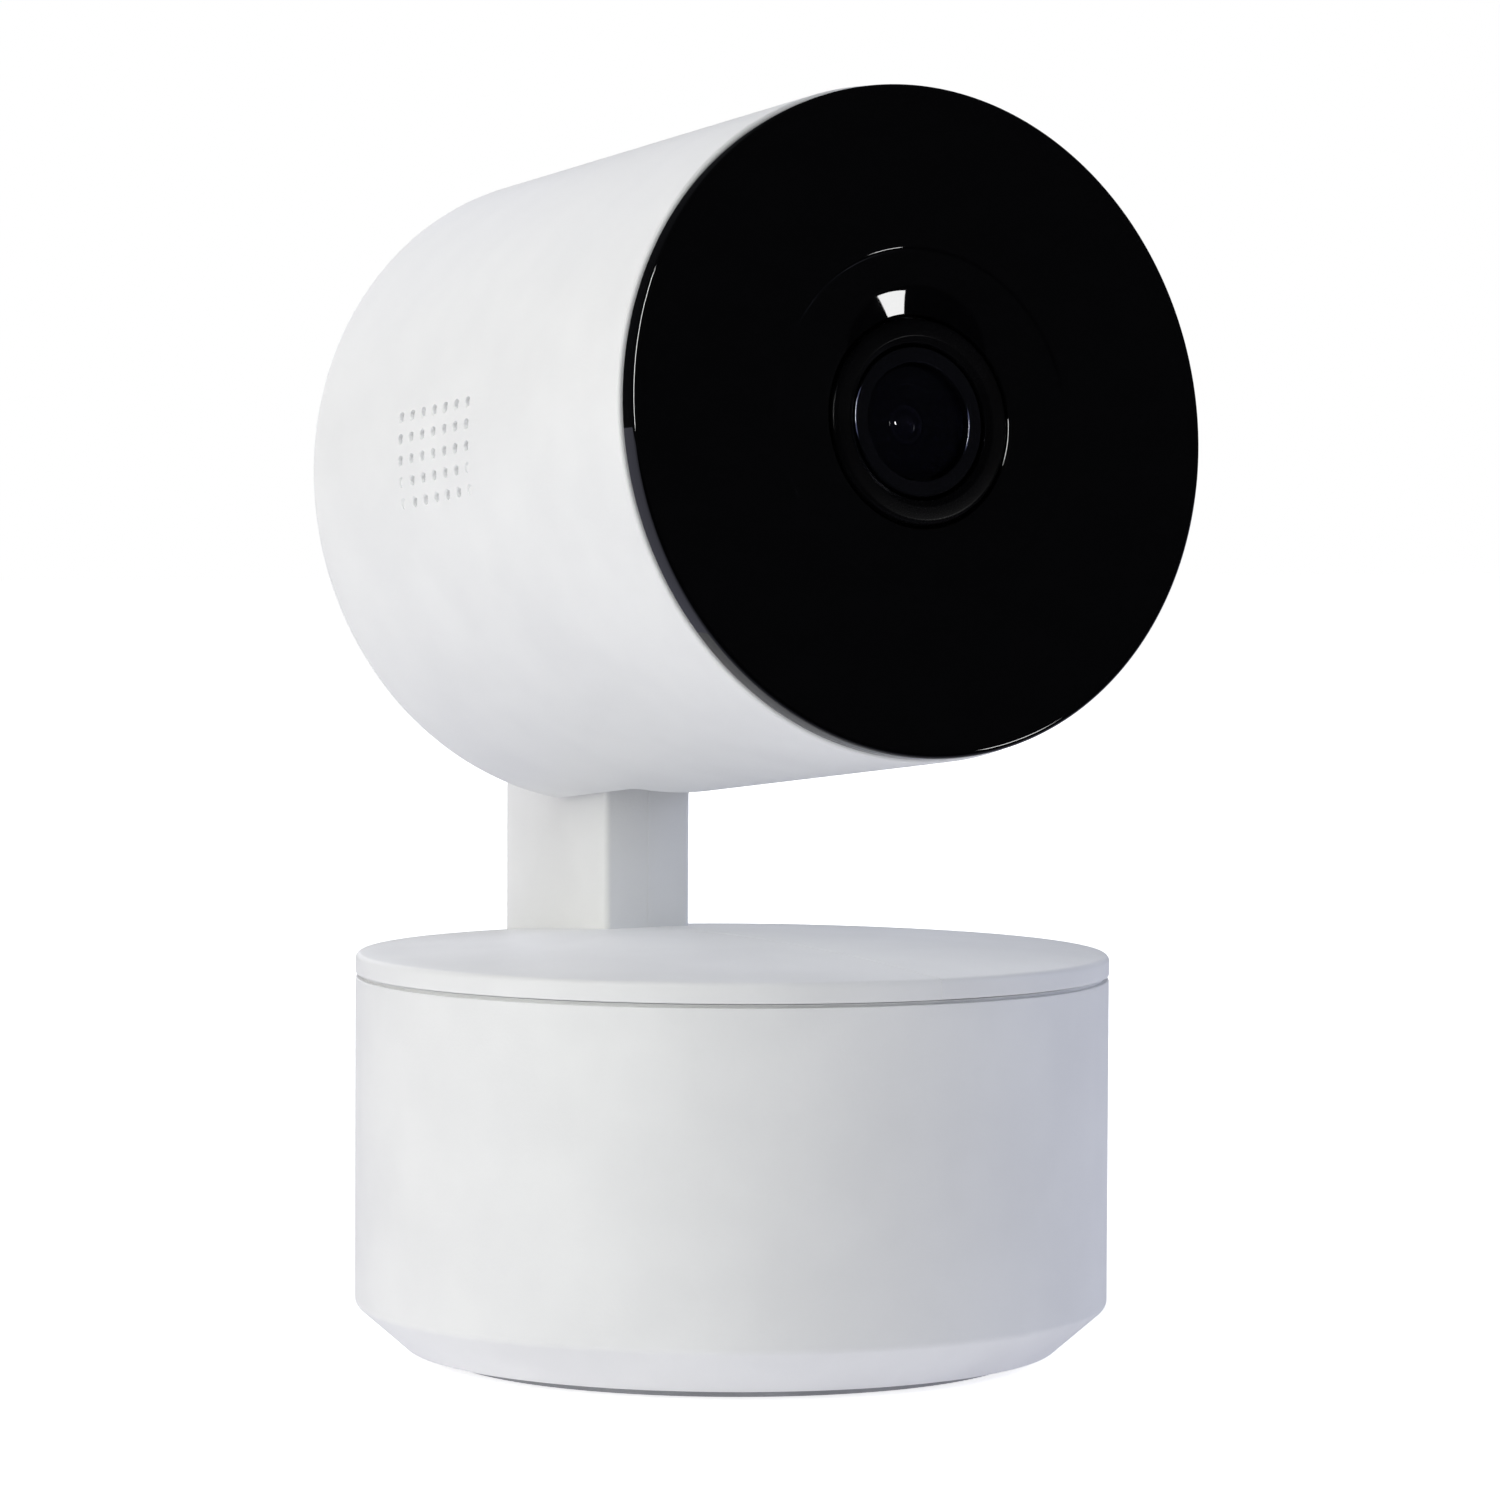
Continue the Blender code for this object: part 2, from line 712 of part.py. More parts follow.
def turntable_half(name, side, added, removed):
    """One clamshell half of the cap and stem. side is -1 for the left half and 1 for the right one."""
    item = turned(name, cap_profile(), LARGE_SIDES, "white_shell")
    far = 40.0 * MM
    x = (-SEAM_HALF, far) if side < 0 else (-far, SEAM_HALF)
    other_half = block(name + "_other_half", x=x, y=(-far, far), z=(20.0 * MM, 90.0 * MM))
    join(item, *added)
    cut(item, *removed, other_half)
    item.parent = PAN_PIVOT
    return item


def pan_hub(hub_holes):
    """The flanged tube that carries the turntable in the deck's collar, with a groove for its clip."""
    flange = 14.0 * MM
    groove = 6.2 * MM
    groove_low, groove_high = HUB_GROOVE
    profile = [
        (HUB_BORE, FLANGE_TOP),
        (flange, FLANGE_TOP),
        (flange, FLANGE_BOTTOM),
        (HUB_RADIUS, FLANGE_BOTTOM),
        (HUB_RADIUS, groove_high),
        (groove, groove_high),
        (groove, groove_low),
        (HUB_RADIUS, groove_low),
        (HUB_RADIUS, HUB_BOTTOM),
        (HUB_BORE, HUB_BOTTOM),
    ]
    item = turned("pan_hub", profile, MEDIUM_SIDES, "acetal")
    cut(item, hub_holes)
    item.parent = PAN_PIVOT
    return item


def pan_gear():
    top = FLANGE_BOTTOM - GAP
    outline = gear_outline(PAN_TEETH, PAN_MODULE, -math.pi / 2)
    bore = circle((0.0, 0.0), HUB_RADIUS + GAP, MEDIUM_SIDES)
    holes = [circle((x, 0.0), HUB_SCREW_HOLE, SCREW_SIDES) for x in (-HUB_SCREW_X, HUB_SCREW_X)]
    item = plate("pan_gear", [outline, bore, *holes], top - PAN_GEAR_BOTTOM, "acetal")
    return place(item, (0.0, 0.0, (top + PAN_GEAR_BOTTOM) / 2.0), parent=PAN_PIVOT)


def hub_clip():
    """A C-shaped clip in the hub's groove, below the collar."""
    inner = 6.5 * MM
    outer = 8.5 * MM
    opening = 40.0
    thickness = 0.5 * MM
    outline = arc((0.0, 0.0), outer, opening, 360.0 - opening, 20)
    outline += arc((0.0, 0.0), inner, 360.0 - opening, opening, 20)
    item = plate("hub_clip", [outline], thickness, "steel")
    return place(item, (0.0, 0.0, sum(HUB_GROOVE) / 2.0), parent=PAN_PIVOT)


def hub_screws():
    seat_gap = 0.2 * MM
    profile = screw_profile(
        head_radius=1.7 * MM, head_height=1.1 * MM, shank_radius=0.85 * MM, length=5.4 * MM
    )
    for side, x in (("left", -HUB_SCREW_X), ("right", HUB_SCREW_X)):
        item = turned(f"hub_screw_{side}", profile, SCREW_SIDES, "zinc_screw")
        place(item, (x, 0.0, PAN_GEAR_BOTTOM - seat_gap), POINTING_UP, PAN_PIVOT)


def stem_screw():
    seat_x = -3.05 * MM
    profile = screw_profile(
        head_radius=1.6 * MM, head_height=0.9 * MM, shank_radius=0.8 * MM, length=5.4 * MM
    )
    item = turned("stem_screw", profile, SCREW_SIDES, "zinc_screw")
    return place(item, (seat_x, STEM_SCREW_Y, STEM_SCREW_Z), FACING_LEFT, PAN_PIVOT)


def flex_cable():
    """The flat cable between base and head: up the hub, back under the cap and up inside the stem."""
    width = 5.0 * MM
    half = 0.2 * MM
    low_end = 12.0 * MM
    under_cap = 35.55 * MM
    stem_y = 24.0 * MM
    high_end = 54.0 * MM
    outline = [
        (-half, low_end),
        (half, low_end),
        (half, under_cap - half),
        (stem_y + half, under_cap - half),
        (stem_y + half, high_end),
        (stem_y - half, high_end),
        (stem_y - half, under_cap + half),
        (-half, under_cap + half),
    ]
    return place(plate("flex_cable", [outline], width, "flex_cable"), rotation=SIDE_ON, parent=PAN_PIVOT)


def pan_pinion():
    low = PAN_GEAR_BOTTOM
    high = FLANGE_BOTTOM - GAP
    shaft_low = 23.2 * MM
    seat = pivot("pan_pinion_pivot", (0.0, -pan_centre_distance(), 0.0))
    phase = math.pi / 2 + math.pi / PAN_PINION_TEETH
    outline = gear_outline(PAN_PINION_TEETH, PAN_MODULE, phase)
    bore = circle((0.0, 0.0), MOTOR_SHAFT_RADIUS + GAP, SCREW_SIDES)
    gear = plate("pan_pinion", [outline, bore], high - low, "acetal")
    place(gear, (0.0, 0.0, (low + high) / 2.0), parent=seat)
    mesh = rod_mesh("pan_motor_shaft", MOTOR_SHAFT_RADIUS, high - shaft_low, SCREW_SIDES)
    shaft = piece("pan_motor_shaft", mesh, "steel")
    place(shaft, (0.0, 0.0, (high + shaft_low) / 2.0), parent=seat)


# ---------------------------------------------------------------- tilt drive

TILT_GEAR_X = (8.7 * MM, 10.7 * MM)
TILT_MOTOR_X = 11.6 * MM


def tilt_axle():
    left = -8.6 * MM
    right = 11.0 * MM
    item = piece("tilt_axle", rod_mesh("tilt_axle", AXLE_RADIUS, right - left, SMALL_SIDES), "steel")
    return place(item, ((left + right) / 2.0, AXLE_Y, AXLE_Z), FACING_RIGHT, PAN_PIVOT)


def tilt_gear():
    """The gear that stands still on the stem's axle, so that the head's motor climbs round it."""
    outline = gear_outline(TILT_TEETH, TILT_MODULE, TILT_MOTOR_DIRECTION - TILT_REST)
    bore = circle((0.0, 0.0), AXLE_RADIUS + GAP, SMALL_SIDES)
    item = plate("tilt_gear", [outline, bore], TILT_GEAR_X[1] - TILT_GEAR_X[0], "acetal")
    return place(item, (sum(TILT_GEAR_X) / 2.0, AXLE_Y, AXLE_Z), SIDE_ON, PAN_PIVOT)


def tilt_motor_place():
    """(back, up) of the tilt motor's shaft."""
    distance = TILT_MODULE * (TILT_TEETH + TILT_PINION_TEETH) / 2.0
    back = AXLE_BACK + distance * math.cos(TILT_MOTOR_DIRECTION)
    return back, distance * math.sin(TILT_MOTOR_DIRECTION) - AXLE_DROP


def tilt_pinion():
    back, up = tilt_motor_place()
    y, z = head_to_world(back, up)
    seat = pivot("tilt_pinion_pivot", (0.0, y, z), TILT_REST)
    phase = TILT_MOTOR_DIRECTION + math.pi + math.pi / TILT_PINION_TEETH
    outline = gear_outline(TILT_PINION_TEETH, TILT_MODULE, phase)
    bore = circle((0.0, 0.0), MOTOR_SHAFT_RADIUS + GAP, SCREW_SIDES)
    overhang = 0.1 * MM
    low = TILT_GEAR_X[0] - overhang
    high = TILT_GEAR_X[1] + overhang
    gear = plate("tilt_pinion", [outline, bore], high - low, "acetal")
    place(gear, ((low + high) / 2.0, 0.0, 0.0), SIDE_ON, seat)
    inside_motor = 2.6 * MM
    shaft_end = TILT_MOTOR_X + inside_motor
    mesh = rod_mesh("tilt_motor_shaft", MOTOR_SHAFT_RADIUS, shaft_end - low, SCREW_SIDES)
    shaft = piece("tilt_motor_shaft", mesh, "steel")
    place(shaft, ((low + shaft_end) / 2.0, 0.0, 0.0), FACING_RIGHT, seat)


EAR_DISTANCE = 10.5 * MM
PILLAR_RADIUS = 1.5 * MM


def motor_ear_places():
    """(back, up) of the tilt motor's two mounting ears, on the line square to the line of gear centres."""
    back, up = tilt_motor_place()
    across = TILT_MOTOR_DIRECTION - math.pi / 2
    return [
        (back + side * EAR_DISTANCE * math.cos(across), up + side * EAR_DISTANCE * math.sin(across))
        for side in (-1.0, 1.0)
    ]


def tilt_motor():
    """The head's stepper motor, with its shaft pointing left to the gear."""
    back, up = tilt_motor_place()
    can_and_ears = motor(
        "tilt_motor",
        can_radius=8.0 * MM,
        can_length=10.6 * MM,
        ear_distance=EAR_DISTANCE,
        ear_angle=math.pi - TILT_MOTOR_DIRECTION,
        boss_height=0.3 * MM,
    )
    for item in can_and_ears:
        place(item, head_place(TILT_MOTOR_X, back, up), FACING_LEFT, TILT_PIVOT)


BRACKET_SCREWS = ((-14.0 * MM, -17.6 * MM), (14.0 * MM, -17.6 * MM))
BRACKET_BACK = (34.5 * MM, 36.0 * MM)


def tilt_bracket():
    """The frame that carries the head on the axle: a cross plate, two ears and the pillars of the tilt motor."""
    notch_side = 8.1 * MM
    foot = 17.0 * MM
    low = -20.5 * MM
    notch_bottom = -15.1 * MM
    top = 5.6 * MM
    outline = [
        (-foot, low),
        (foot, low),
        (foot, notch_bottom),
        (notch_side, notch_bottom),
        (notch_side, top),
        (-foot, top),
    ]
    thickness = BRACKET_BACK[1] - BRACKET_BACK[0]
    item = piece("tilt_bracket", plate_mesh("tilt_bracket", [outline], thickness), "grey_plastic")
    place(item, head_place(0.0, sum(BRACKET_BACK) / 2.0, 0.0), FACING_FRONT, TILT_PIVOT)
    ear_x = (6.0 * MM, 7.6 * MM)
    eye = arc((AXLE_BACK, -AXLE_DROP), EYE_RADIUS, -90.0, 90.0, 8)
    plate_front = BRACKET_BACK[0]
    eye_bottom = eye[0][1]
    eye_top = eye[-1][1]
    left_outline = [(plate_front, eye_bottom), *eye, (plate_front, eye_top)]
    arm_front = 28.2 * MM
    arm_low = -17.0 * MM
    arm_high = -10.8 * MM
    arm_top = 4.6 * MM
    arm_top_front = 40.6 * MM
    right_outline = [
        (arm_front, arm_low),
        (plate_front, eye_bottom),
        *eye,
        (AXLE_BACK, arm_top),
        (arm_top_front, arm_top),
        (arm_front, arm_high),
    ]
    ear_width = ear_x[1] - ear_x[0]
    for side, ear_outline in ((-1.0, left_outline), (1.0, right_outline)):
        name = "bracket_ear_left" if side < 0 else "bracket_ear_right"
        ear = helper(name, plate_mesh(name, [ear_outline], ear_width))
        place(ear, head_place(side * sum(ear_x) / 2.0, 0.0, 0.0), SIDE_ON, TILT_PIVOT)
        join(item, ear)
    pillar_length = TILT_MOTOR_X - GAP - ear_x[0]
    for number, (back, up) in enumerate(motor_ear_places(), start=1):
        name = f"motor_pillar_{number}"
        pillar = helper(name, rod_mesh(name, PILLAR_RADIUS, pillar_length, SCREW_SIDES))
        place(pillar, head_place(ear_x[0] + pillar_length / 2.0, back, up), FACING_RIGHT, TILT_PIVOT)
        join(item, pillar)
    mesh = rod_mesh("bush_bores", BUSH_RADIUS + GAP, length=20.0 * MM, sides=SMALL_SIDES)
    bush_bore = helper("bush_bores", mesh)
    place(bush_bore, head_place(0.0, AXLE_BACK, -AXLE_DROP), FACING_RIGHT, TILT_PIVOT)
    hole_length = 8.0 * MM
    mesh = rod_mesh("bracket_screw_holes", SCREW_SHANK + SCREW_HOLE_GAP, hole_length, SCREW_SIDES, BRACKET_SCREWS)
    holes = helper("bracket_screw_holes", mesh)
    place(holes, head_place(0.0, BRACKET_BACK[1], 0.0), FACING_FRONT, TILT_PIVOT)
    cut(item, bush_bore, holes)
    return item


def bracket_screws():
    seat_gap = 0.2 * MM
    profile = screw_profile(
        head_radius=1.9 * MM, head_height=1.2 * MM, shank_radius=SCREW_SHANK, length=6.0 * MM
    )
    for number, (across, up) in enumerate(BRACKET_SCREWS, start=1):
        item = turned(f"bracket_screw_{number}", profile, SCREW_SIDES, "zinc_screw")
        place(item, head_place(across, BRACKET_BACK[0] - seat_gap, up), FACING_FRONT, TILT_PIVOT)


def bush(name, side):
    """A flanged bronze bush in a bracket ear, with its flange outside the ear."""
    bore = AXLE_RADIUS + RUNNING_GAP
    flange = 3.4 * MM
    flange_outer = 8.4 * MM
    flange_inner = 7.9 * MM
    inner_end = 6.0 * MM
    profile = [
        (bore, flange_outer),
        (flange, flange_outer),
        (flange, flange_inner),
        (BUSH_RADIUS, flange_inner),
        (BUSH_RADIUS, inner_end),
        (bore, inner_end),
    ]
    item = turned(name, profile, SMALL_SIDES, "bronze")
    facing = FACING_LEFT if side < 0 else FACING_RIGHT
    return place(item, rotation=facing, parent=TILT_PIVOT)


# ---------------------------------------------------------------- head shell


def grille_places():
    """(back, up, through) of each hole. The two lowest holes of the end columns are only dimples."""
    for column in range(GRILLE_COLUMNS):
        for row in range(GRILLE_ROWS):
            back = GRILLE_BACK + (column - (GRILLE_COLUMNS - 1) / 2.0) * GRILLE_PITCH
            up = GRILLE_UP + (row - (GRILLE_ROWS - 1) / 2.0) * GRILLE_PITCH
            end_column = column in (0, GRILLE_COLUMNS - 1)
            yield back, up, not (end_column and row < 2)


def grille_cutter(name, through, depth):
    """Rods across the left wall, in the head's own directions, reaching in to this depth below the surface."""
    places = [(back, up) for back, up, is_through in grille_places() if is_through == through]
    reach = 2.0 * MM
    length = reach + depth
    cutter = helper(name, rod_mesh(name, GRILLE_HOLE, length, GRILLE_SIDES, places))
    across = -HEAD_RADIUS - reach + length / 2.0
    return place(cutter, head_place(across, 0.0, 0.0), SIDE_ON, TILT_PIVOT)


CARD_UP = 14.4 * MM
RESET_ACROSS = 12.0 * MM
RESET_UP = 15.4 * MM


def head_shell():
    """The tube of the head, closed at the rear, with bosses inside for the bracket's screws."""
    edge = HEAD_REAR_EDGE
    mouth_edge = 0.35 * MM
    front = -GAP
    rear = -HEAD_LENGTH
    rounded = arc((HEAD_RADIUS - edge, rear + edge), edge, 0.0, -90.0, 3)
    profile = [
        (0.0, rear + HEAD_WALL),
        (HEAD_INSIDE, rear + HEAD_WALL),
        (HEAD_INSIDE, front),
        (HEAD_RADIUS - mouth_edge, front),
        (HEAD_RADIUS, front - mouth_edge),
        *rounded,
        (0.0, rear),
    ]
    item = head_turned("head_shell", profile, LARGE_SIDES, "white_shell")
    boss_back = (BRACKET_BACK[1] + GAP, HEAD_LENGTH - HEAD_WALL / 2.0)
    boss_length = boss_back[1] - boss_back[0]
    boss_radius = 2.6 * MM
    mesh = rod_mesh("shell_bosses", boss_radius, boss_length, SMALL_SIDES, BRACKET_SCREWS)
    bosses = helper("shell_bosses", mesh)
    place(bosses, head_place(0.0, sum(boss_back) / 2.0, 0.0), FACING_FRONT, TILT_PIVOT)
    hole_length = 8.0 * MM
    hole_back = boss_back[0] + 3.0 * MM
    mesh = rod_mesh("boss_screw_holes", SCREW_SHANK + SCREW_HOLE_GAP, hole_length, SCREW_SIDES, BRACKET_SCREWS)
    boss_holes = helper("boss_screw_holes", mesh)
    place(boss_holes, head_place(0.0, hole_back, 0.0), FACING_FRONT, TILT_PIVOT)
    beyond = 4.0 * MM
    slot = head_block(
        "stem_slot",
        across=(-SLOT_HALF_WIDTH, SLOT_HALF_WIDTH),
        back=(SLOT_FRONT, HEAD_LENGTH + beyond),
        up=(-HEAD_RADIUS - beyond, SLOT_TOP),
    )
    bevel(slot, SLOT_CORNER, 2)
    card_slot = head_block(
        "card_slot",
        across=(-6.2 * MM, 6.2 * MM),
        back=(HEAD_LENGTH - beyond, HEAD_LENGTH + beyond),
        up=(CARD_UP - 1.1 * MM, CARD_UP + 1.1 * MM),
    )
    bevel(card_slot, 0.5 * MM)
    mesh = rod_mesh("reset_hole", radius=1.3 * MM, length=8.0 * MM, sides=SMALL_SIDES)
    reset_hole = helper("reset_hole", mesh)
    place(reset_hole, head_place(RESET_ACROSS, HEAD_LENGTH, RESET_UP), FACING_FRONT, TILT_PIVOT)
    grille_holes = grille_cutter("grille_holes", through=True, depth=5.0 * MM)
    grille_dimples = grille_cutter("grille_dimples", through=False, depth=0.6 * MM)
    join(item, bosses)
    cut(item, boss_holes, slot, card_slot, reset_hole, grille_holes, grille_dimples)
    return item


# ---------------------------------------------------------------- front of the head


def front_panel():
    """The gloss panel: it covers the shell's mouth, with a rounded edge and a shallow dish round the lens."""
    front = PANEL_PROUD
    rim = arc((PANEL_RADIUS - PANEL_EDGE, front - PANEL_EDGE), PANEL_EDGE, 90.0, 0.0, 4)
    profile = [
        (PANEL_HOLE, front - DISH_DEPTH),
        (DISH_RADIUS, front),
        *rim,
        (PANEL_RADIUS, 0.0),
        (PANEL_HOLE, 0.0),
    ]
    return head_turned("front_panel", profile, LARGE_SIDES, "gloss_black")


FRAME_POSTS = [(x * MM, z * MM) for x in (-11.5, 11.5) for z in (-11.5, 11.5)]
SENSOR_BOARD_BACK = (18.8 * MM, 19.9 * MM)


def front_frame():
    """The ring inside the shell's mouth that holds the panel, the lamp board and, on posts, the sensor board."""
    outer = HEAD_INSIDE - 0.4 * MM
    inner = outer - 1.6 * MM
    hole = 9.6 * MM
    front = -0.6 * MM
    rear = -8.0 * MM
    plate_back = (3.2 * MM, 5.0 * MM)
    profile = [
        (inner, front),
        (outer, front),
        (outer, rear),
        (inner, rear),
        (inner, -plate_back[1]),
        (hole, -plate_back[1]),
        (hole, -plate_back[0]),
        (inner, -plate_back[0]),
    ]
    item = head_turned("front_frame", profile, MEDIUM_SIDES, "grey_plastic")
    post_back = (4.0 * MM, SENSOR_BOARD_BACK[0] - GAP)
    post_radius = 1.8 * MM
    mesh = rod_mesh("frame_posts", post_radius, post_back[1] - post_back[0], SCREW_SIDES, FRAME_POSTS)
    posts = place(
        helper("frame_posts", mesh), head_place(0.0, sum(post_back) / 2.0, 0.0), FACING_FRONT, TILT_PIVOT
    )
    join(item, posts)
    return item


LAMP_RADIUS = 19.0 * MM
LAMP_ANGLES = (45.0, 135.0, 225.0, 315.0)


def lamp_board():
    outer = 24.9 * MM
    inner = 13.5 * MM
    back = (1.8 * MM, 2.8 * MM)
    loops = [circle((0.0, 0.0), outer, MEDIUM_SIDES), circle((0.0, 0.0), inner, MEDIUM_SIDES)]
    item = plate("lamp_board", loops, back[1] - back[0], "circuit_board")
    return place(item, head_place(0.0, sum(back) / 2.0, 0.0), FACING_FRONT, TILT_PIVOT)


def infrared_lamps():
    """Four domed lamps on the lamp board."""
    foot_back = 1.5 * MM
    radius = 1.6 * MM
    dome = [(0.0, 1.1 * MM), (1.0 * MM, 0.8 * MM), (radius, 0.3 * MM)]
    profile = [*dome, (radius, 0.0), (0.0, 0.0)]
    for number, angle in enumerate(LAMP_ANGLES, start=1):
        across = LAMP_RADIUS * math.cos(math.radians(angle))
        up = LAMP_RADIUS * math.sin(math.radians(angle))
        item = turned(f"ir_lamp_{number}", profile, SCREW_SIDES, "led_lens")
        place(item, head_place(across, foot_back, up), FACING_FRONT, TILT_PIVOT)


def microphone():
    return head_block(
        "microphone",
        across=(-1.6 * MM, 1.6 * MM),
        back=(0.5 * MM, 1.5 * MM),
        up=(-20.6 * MM, -18.2 * MM),
        finish="socket_metal",
    )


# ---------------------------------------------------------------- lens and sensor


def lens_ring():
    """The raised ring round the lens."""
    inner = 6.8 * MM
    front = 1.3 * MM
    rear = -2.6 * MM
    edge = 0.5 * MM
    profile = [
        (inner, front - 0.6 * MM),
        (inner + edge, front),
        (LENS_RING_RADIUS - edge, front),
        (LENS_RING_RADIUS, front - edge),
        (LENS_RING_RADIUS, rear),
        (inner, rear),
    ]
    return head_turned("lens_ring", profile, MEDIUM_SIDES, "satin_black")


BARREL_END = 12.5 * MM
LENS_SEAT_RADIUS = 5.15 * MM


def lens_barrel():
    """The lens barrel: a wider head round the front element, on a body that stands in the lens holder."""
    head_radius = 6.5 * MM
    radius = 6.0 * MM
    rear_bore = 4.2 * MM
    front = 0.9 * MM
    inner_edge = 0.3 * MM
    outer_edge = 0.4 * MM
    head_rear = -1.2 * MM
    seat_rear = -1.9 * MM
    profile = [
        (LENS_SEAT_RADIUS, front - inner_edge),
        (LENS_SEAT_RADIUS + inner_edge, front),
        (head_radius - outer_edge, front),
        (head_radius, front - outer_edge),
        (head_radius, head_rear),
        (radius, head_rear),
        (radius, -BARREL_END),
        (rear_bore, -BARREL_END),
        (rear_bore, seat_rear),
        (LENS_SEAT_RADIUS, seat_rear),
    ]
    return head_turned("lens_barrel", profile, MEDIUM_SIDES, "satin_black")


def front_lens():
    """A thin domed front element."""
    radius = LENS_SEAT_RADIUS - GAP
    profile = [
        (0.0, 0.75 * MM),
        (0.4 * radius, 0.69 * MM),
        (0.75 * radius, 0.52 * MM),
        (radius, 0.3 * MM),
        (radius, -0.1 * MM),
        (0.75 * radius, 0.0),
        (0.0, 0.1 * MM),
    ]
    return head_turned("front_lens", profile, MEDIUM_SIDES, "lens_glass")


def lens_baffle():
    """The black cone behind the front element, open at its middle for the inner lens."""
    outer = LENS_SEAT_RADIUS - GAP
    cone = 4.3 * MM
    opening = 1.85 * MM
    front = -0.4 * MM
    floor = -1.2 * MM
    rear = -1.6 * MM
    profile = [(cone, front), (outer, front), (outer, rear), (opening, rear), (opening, floor)]
    return head_turned("lens_baffle", profile, MEDIUM_SIDES, "satin_black")


def inner_lens():
    """The inner lens group: a small dome in the baffle's opening, on a wider cell in the barrel."""
    dome = 1.5 * MM
    cell = 3.9 * MM
    cell_front = -2.2 * MM
    cell_rear = -10.0 * MM
    profile = [
        (0.0, -0.6 * MM),
        (0.5 * dome, -0.7 * MM),
        (0.85 * dome, -0.95 * MM),
        (dome, -1.3 * MM),
        (dome, cell_front),
        (cell, cell_front),
        (cell, cell_rear),
        (0.0, cell_rear),
    ]
    return head_turned("inner_lens", profile, SMALL_SIDES, "lens_glass")


HOLDER_HALF = 8.5 * MM
HOLDER_BACK = (9.0 * MM, 18.5 * MM)


def lens_holder():
    """The block on the sensor board that takes the barrel and guides the filter slide across the light's path."""
    item = head_block(
        "lens_holder", (-HOLDER_HALF, HOLDER_HALF), HOLDER_BACK, (-HOLDER_HALF, HOLDER_HALF), "satin_black"
    )
    mesh = rod_mesh("barrel_bore", radius=6.3 * MM, length=8.4 * MM, sides=SMALL_SIDES)
    barrel_bore = helper("barrel_bore", mesh)
    place(barrel_bore, head_place(0.0, HOLDER_BACK[0], 0.0), FACING_FRONT, TILT_PIVOT)
    mesh = rod_mesh("light_path", radius=3.4 * MM, length=8.0 * MM, sides=SMALL_SIDES)
    light_path = helper("light_path", mesh)
    place(light_path, head_place(0.0, 15.0 * MM, 0.0), FACING_FRONT, TILT_PIVOT)
    slide_way = head_block(
        "slide_way", across=(-12.0 * MM, 12.0 * MM), back=(13.7 * MM, 15.6 * MM), up=(-4.7 * MM, 4.7 * MM)
    )
    half = 5.6 * MM
    pocket = head_block("sensor_pocket", across=(-half, half), back=(16.4 * MM, 20.0 * MM), up=(-half, half))
    cut(item, barrel_bore, light_path, slide_way, pocket)
    return item


FILTER_TRAVEL = 6.8 * MM


def filter_slide():
    """The carrier's two windows: the infrared filter is in the light's path at rest, the clear one after a shift."""
    back = 14.65 * MM
    half = 4.2 * MM
    window = 3.1 * MM
    carrier_thickness = 1.0 * MM
    glass_thickness = 0.5 * MM
    carrier_y, carrier_z = head_to_world(back, 0.0)
    seat = pivot("filter_pivot", (0.0, carrier_y, carrier_z), TILT_REST)
    outline = rectangle((-FILTER_TRAVEL - half, half), (-half, half))
    windows = [circle((x, 0.0), window, SMALL_SIDES) for x in (0.0, -FILTER_TRAVEL)]
    carrier = plate("filter_carrier", [outline, *windows], carrier_thickness, "satin_black")
    place(carrier, rotation=FACING_FRONT, parent=seat)
    mesh = rod_mesh("ir_cut_filter", window - GAP, glass_thickness, SMALL_SIDES)
    place(piece("ir_cut_filter", mesh, "filter_glass"), rotation=FACING_FRONT, parent=seat)


def filter_coil():
    """The coil that moves the filter slide."""
    return head_block(
        "filter_coil",
        across=(-18.5 * MM, -12.2 * MM),
        back=(12.6 * MM, 18.5 * MM),
        up=(-3.5 * MM, 3.5 * MM),
        finish="bronze",
    )


def sensor_board():
    half = 14.0 * MM
    coil_side = -20.0 * MM
    return head_block("sensor_board", (coil_side, half), SENSOR_BOARD_BACK, (-half, half), "circuit_board")


def image_sensor():
    return head_block(
        "image_sensor",
        across=(-4.4 * MM, 4.4 * MM),
        back=(17.5 * MM, 18.5 * MM),
        up=(-3.6 * MM, 3.6 * MM),
        finish="chip_black",
    )


# ---------------------------------------------------------------- electronics in the head


def main_board():
    return head_block(
        "main_board",
        across=(-18.0 * MM, 18.0 * MM),
        back=(22.0 * MM, 53.6 * MM),
        up=(12.0 * MM, 13.2 * MM),
        finish="circuit_board",
    )


def processor():
    return head_block(
        "processor",
        across=(-6.5 * MM, 6.5 * MM),
        back=(24.5 * MM, 37.5 * MM),
        up=(13.5 * MM, 15.0 * MM),
        finish="chip_black",
    )


def card_socket():
    """The memory card's socket, open towards the slot in the rear wall."""
    item = head_block(
        "card_socket",
        across=(-7.0 * MM, 7.0 * MM),
        back=(39.5 * MM, 53.6 * MM),
        up=(CARD_UP - 0.9 * MM, CARD_UP + 0.9 * MM),
        finish="socket_metal",
    )
    mouth = head_block(
        "card_mouth",
        across=(-5.8 * MM, 5.8 * MM),
        back=(41.0 * MM, 55.0 * MM),
        up=(CARD_UP - 0.5 * MM, CARD_UP + 0.5 * MM),
    )
    cut(item, mouth)
    return item


def reset_switch():
    return head_block(
        "reset_switch",
        across=(RESET_ACROSS - 2.2 * MM, RESET_ACROSS + 2.2 * MM),
        back=(47.6 * MM, 50.4 * MM),
        up=(13.5 * MM, 16.4 * MM),
        finish="chip_black",
    )


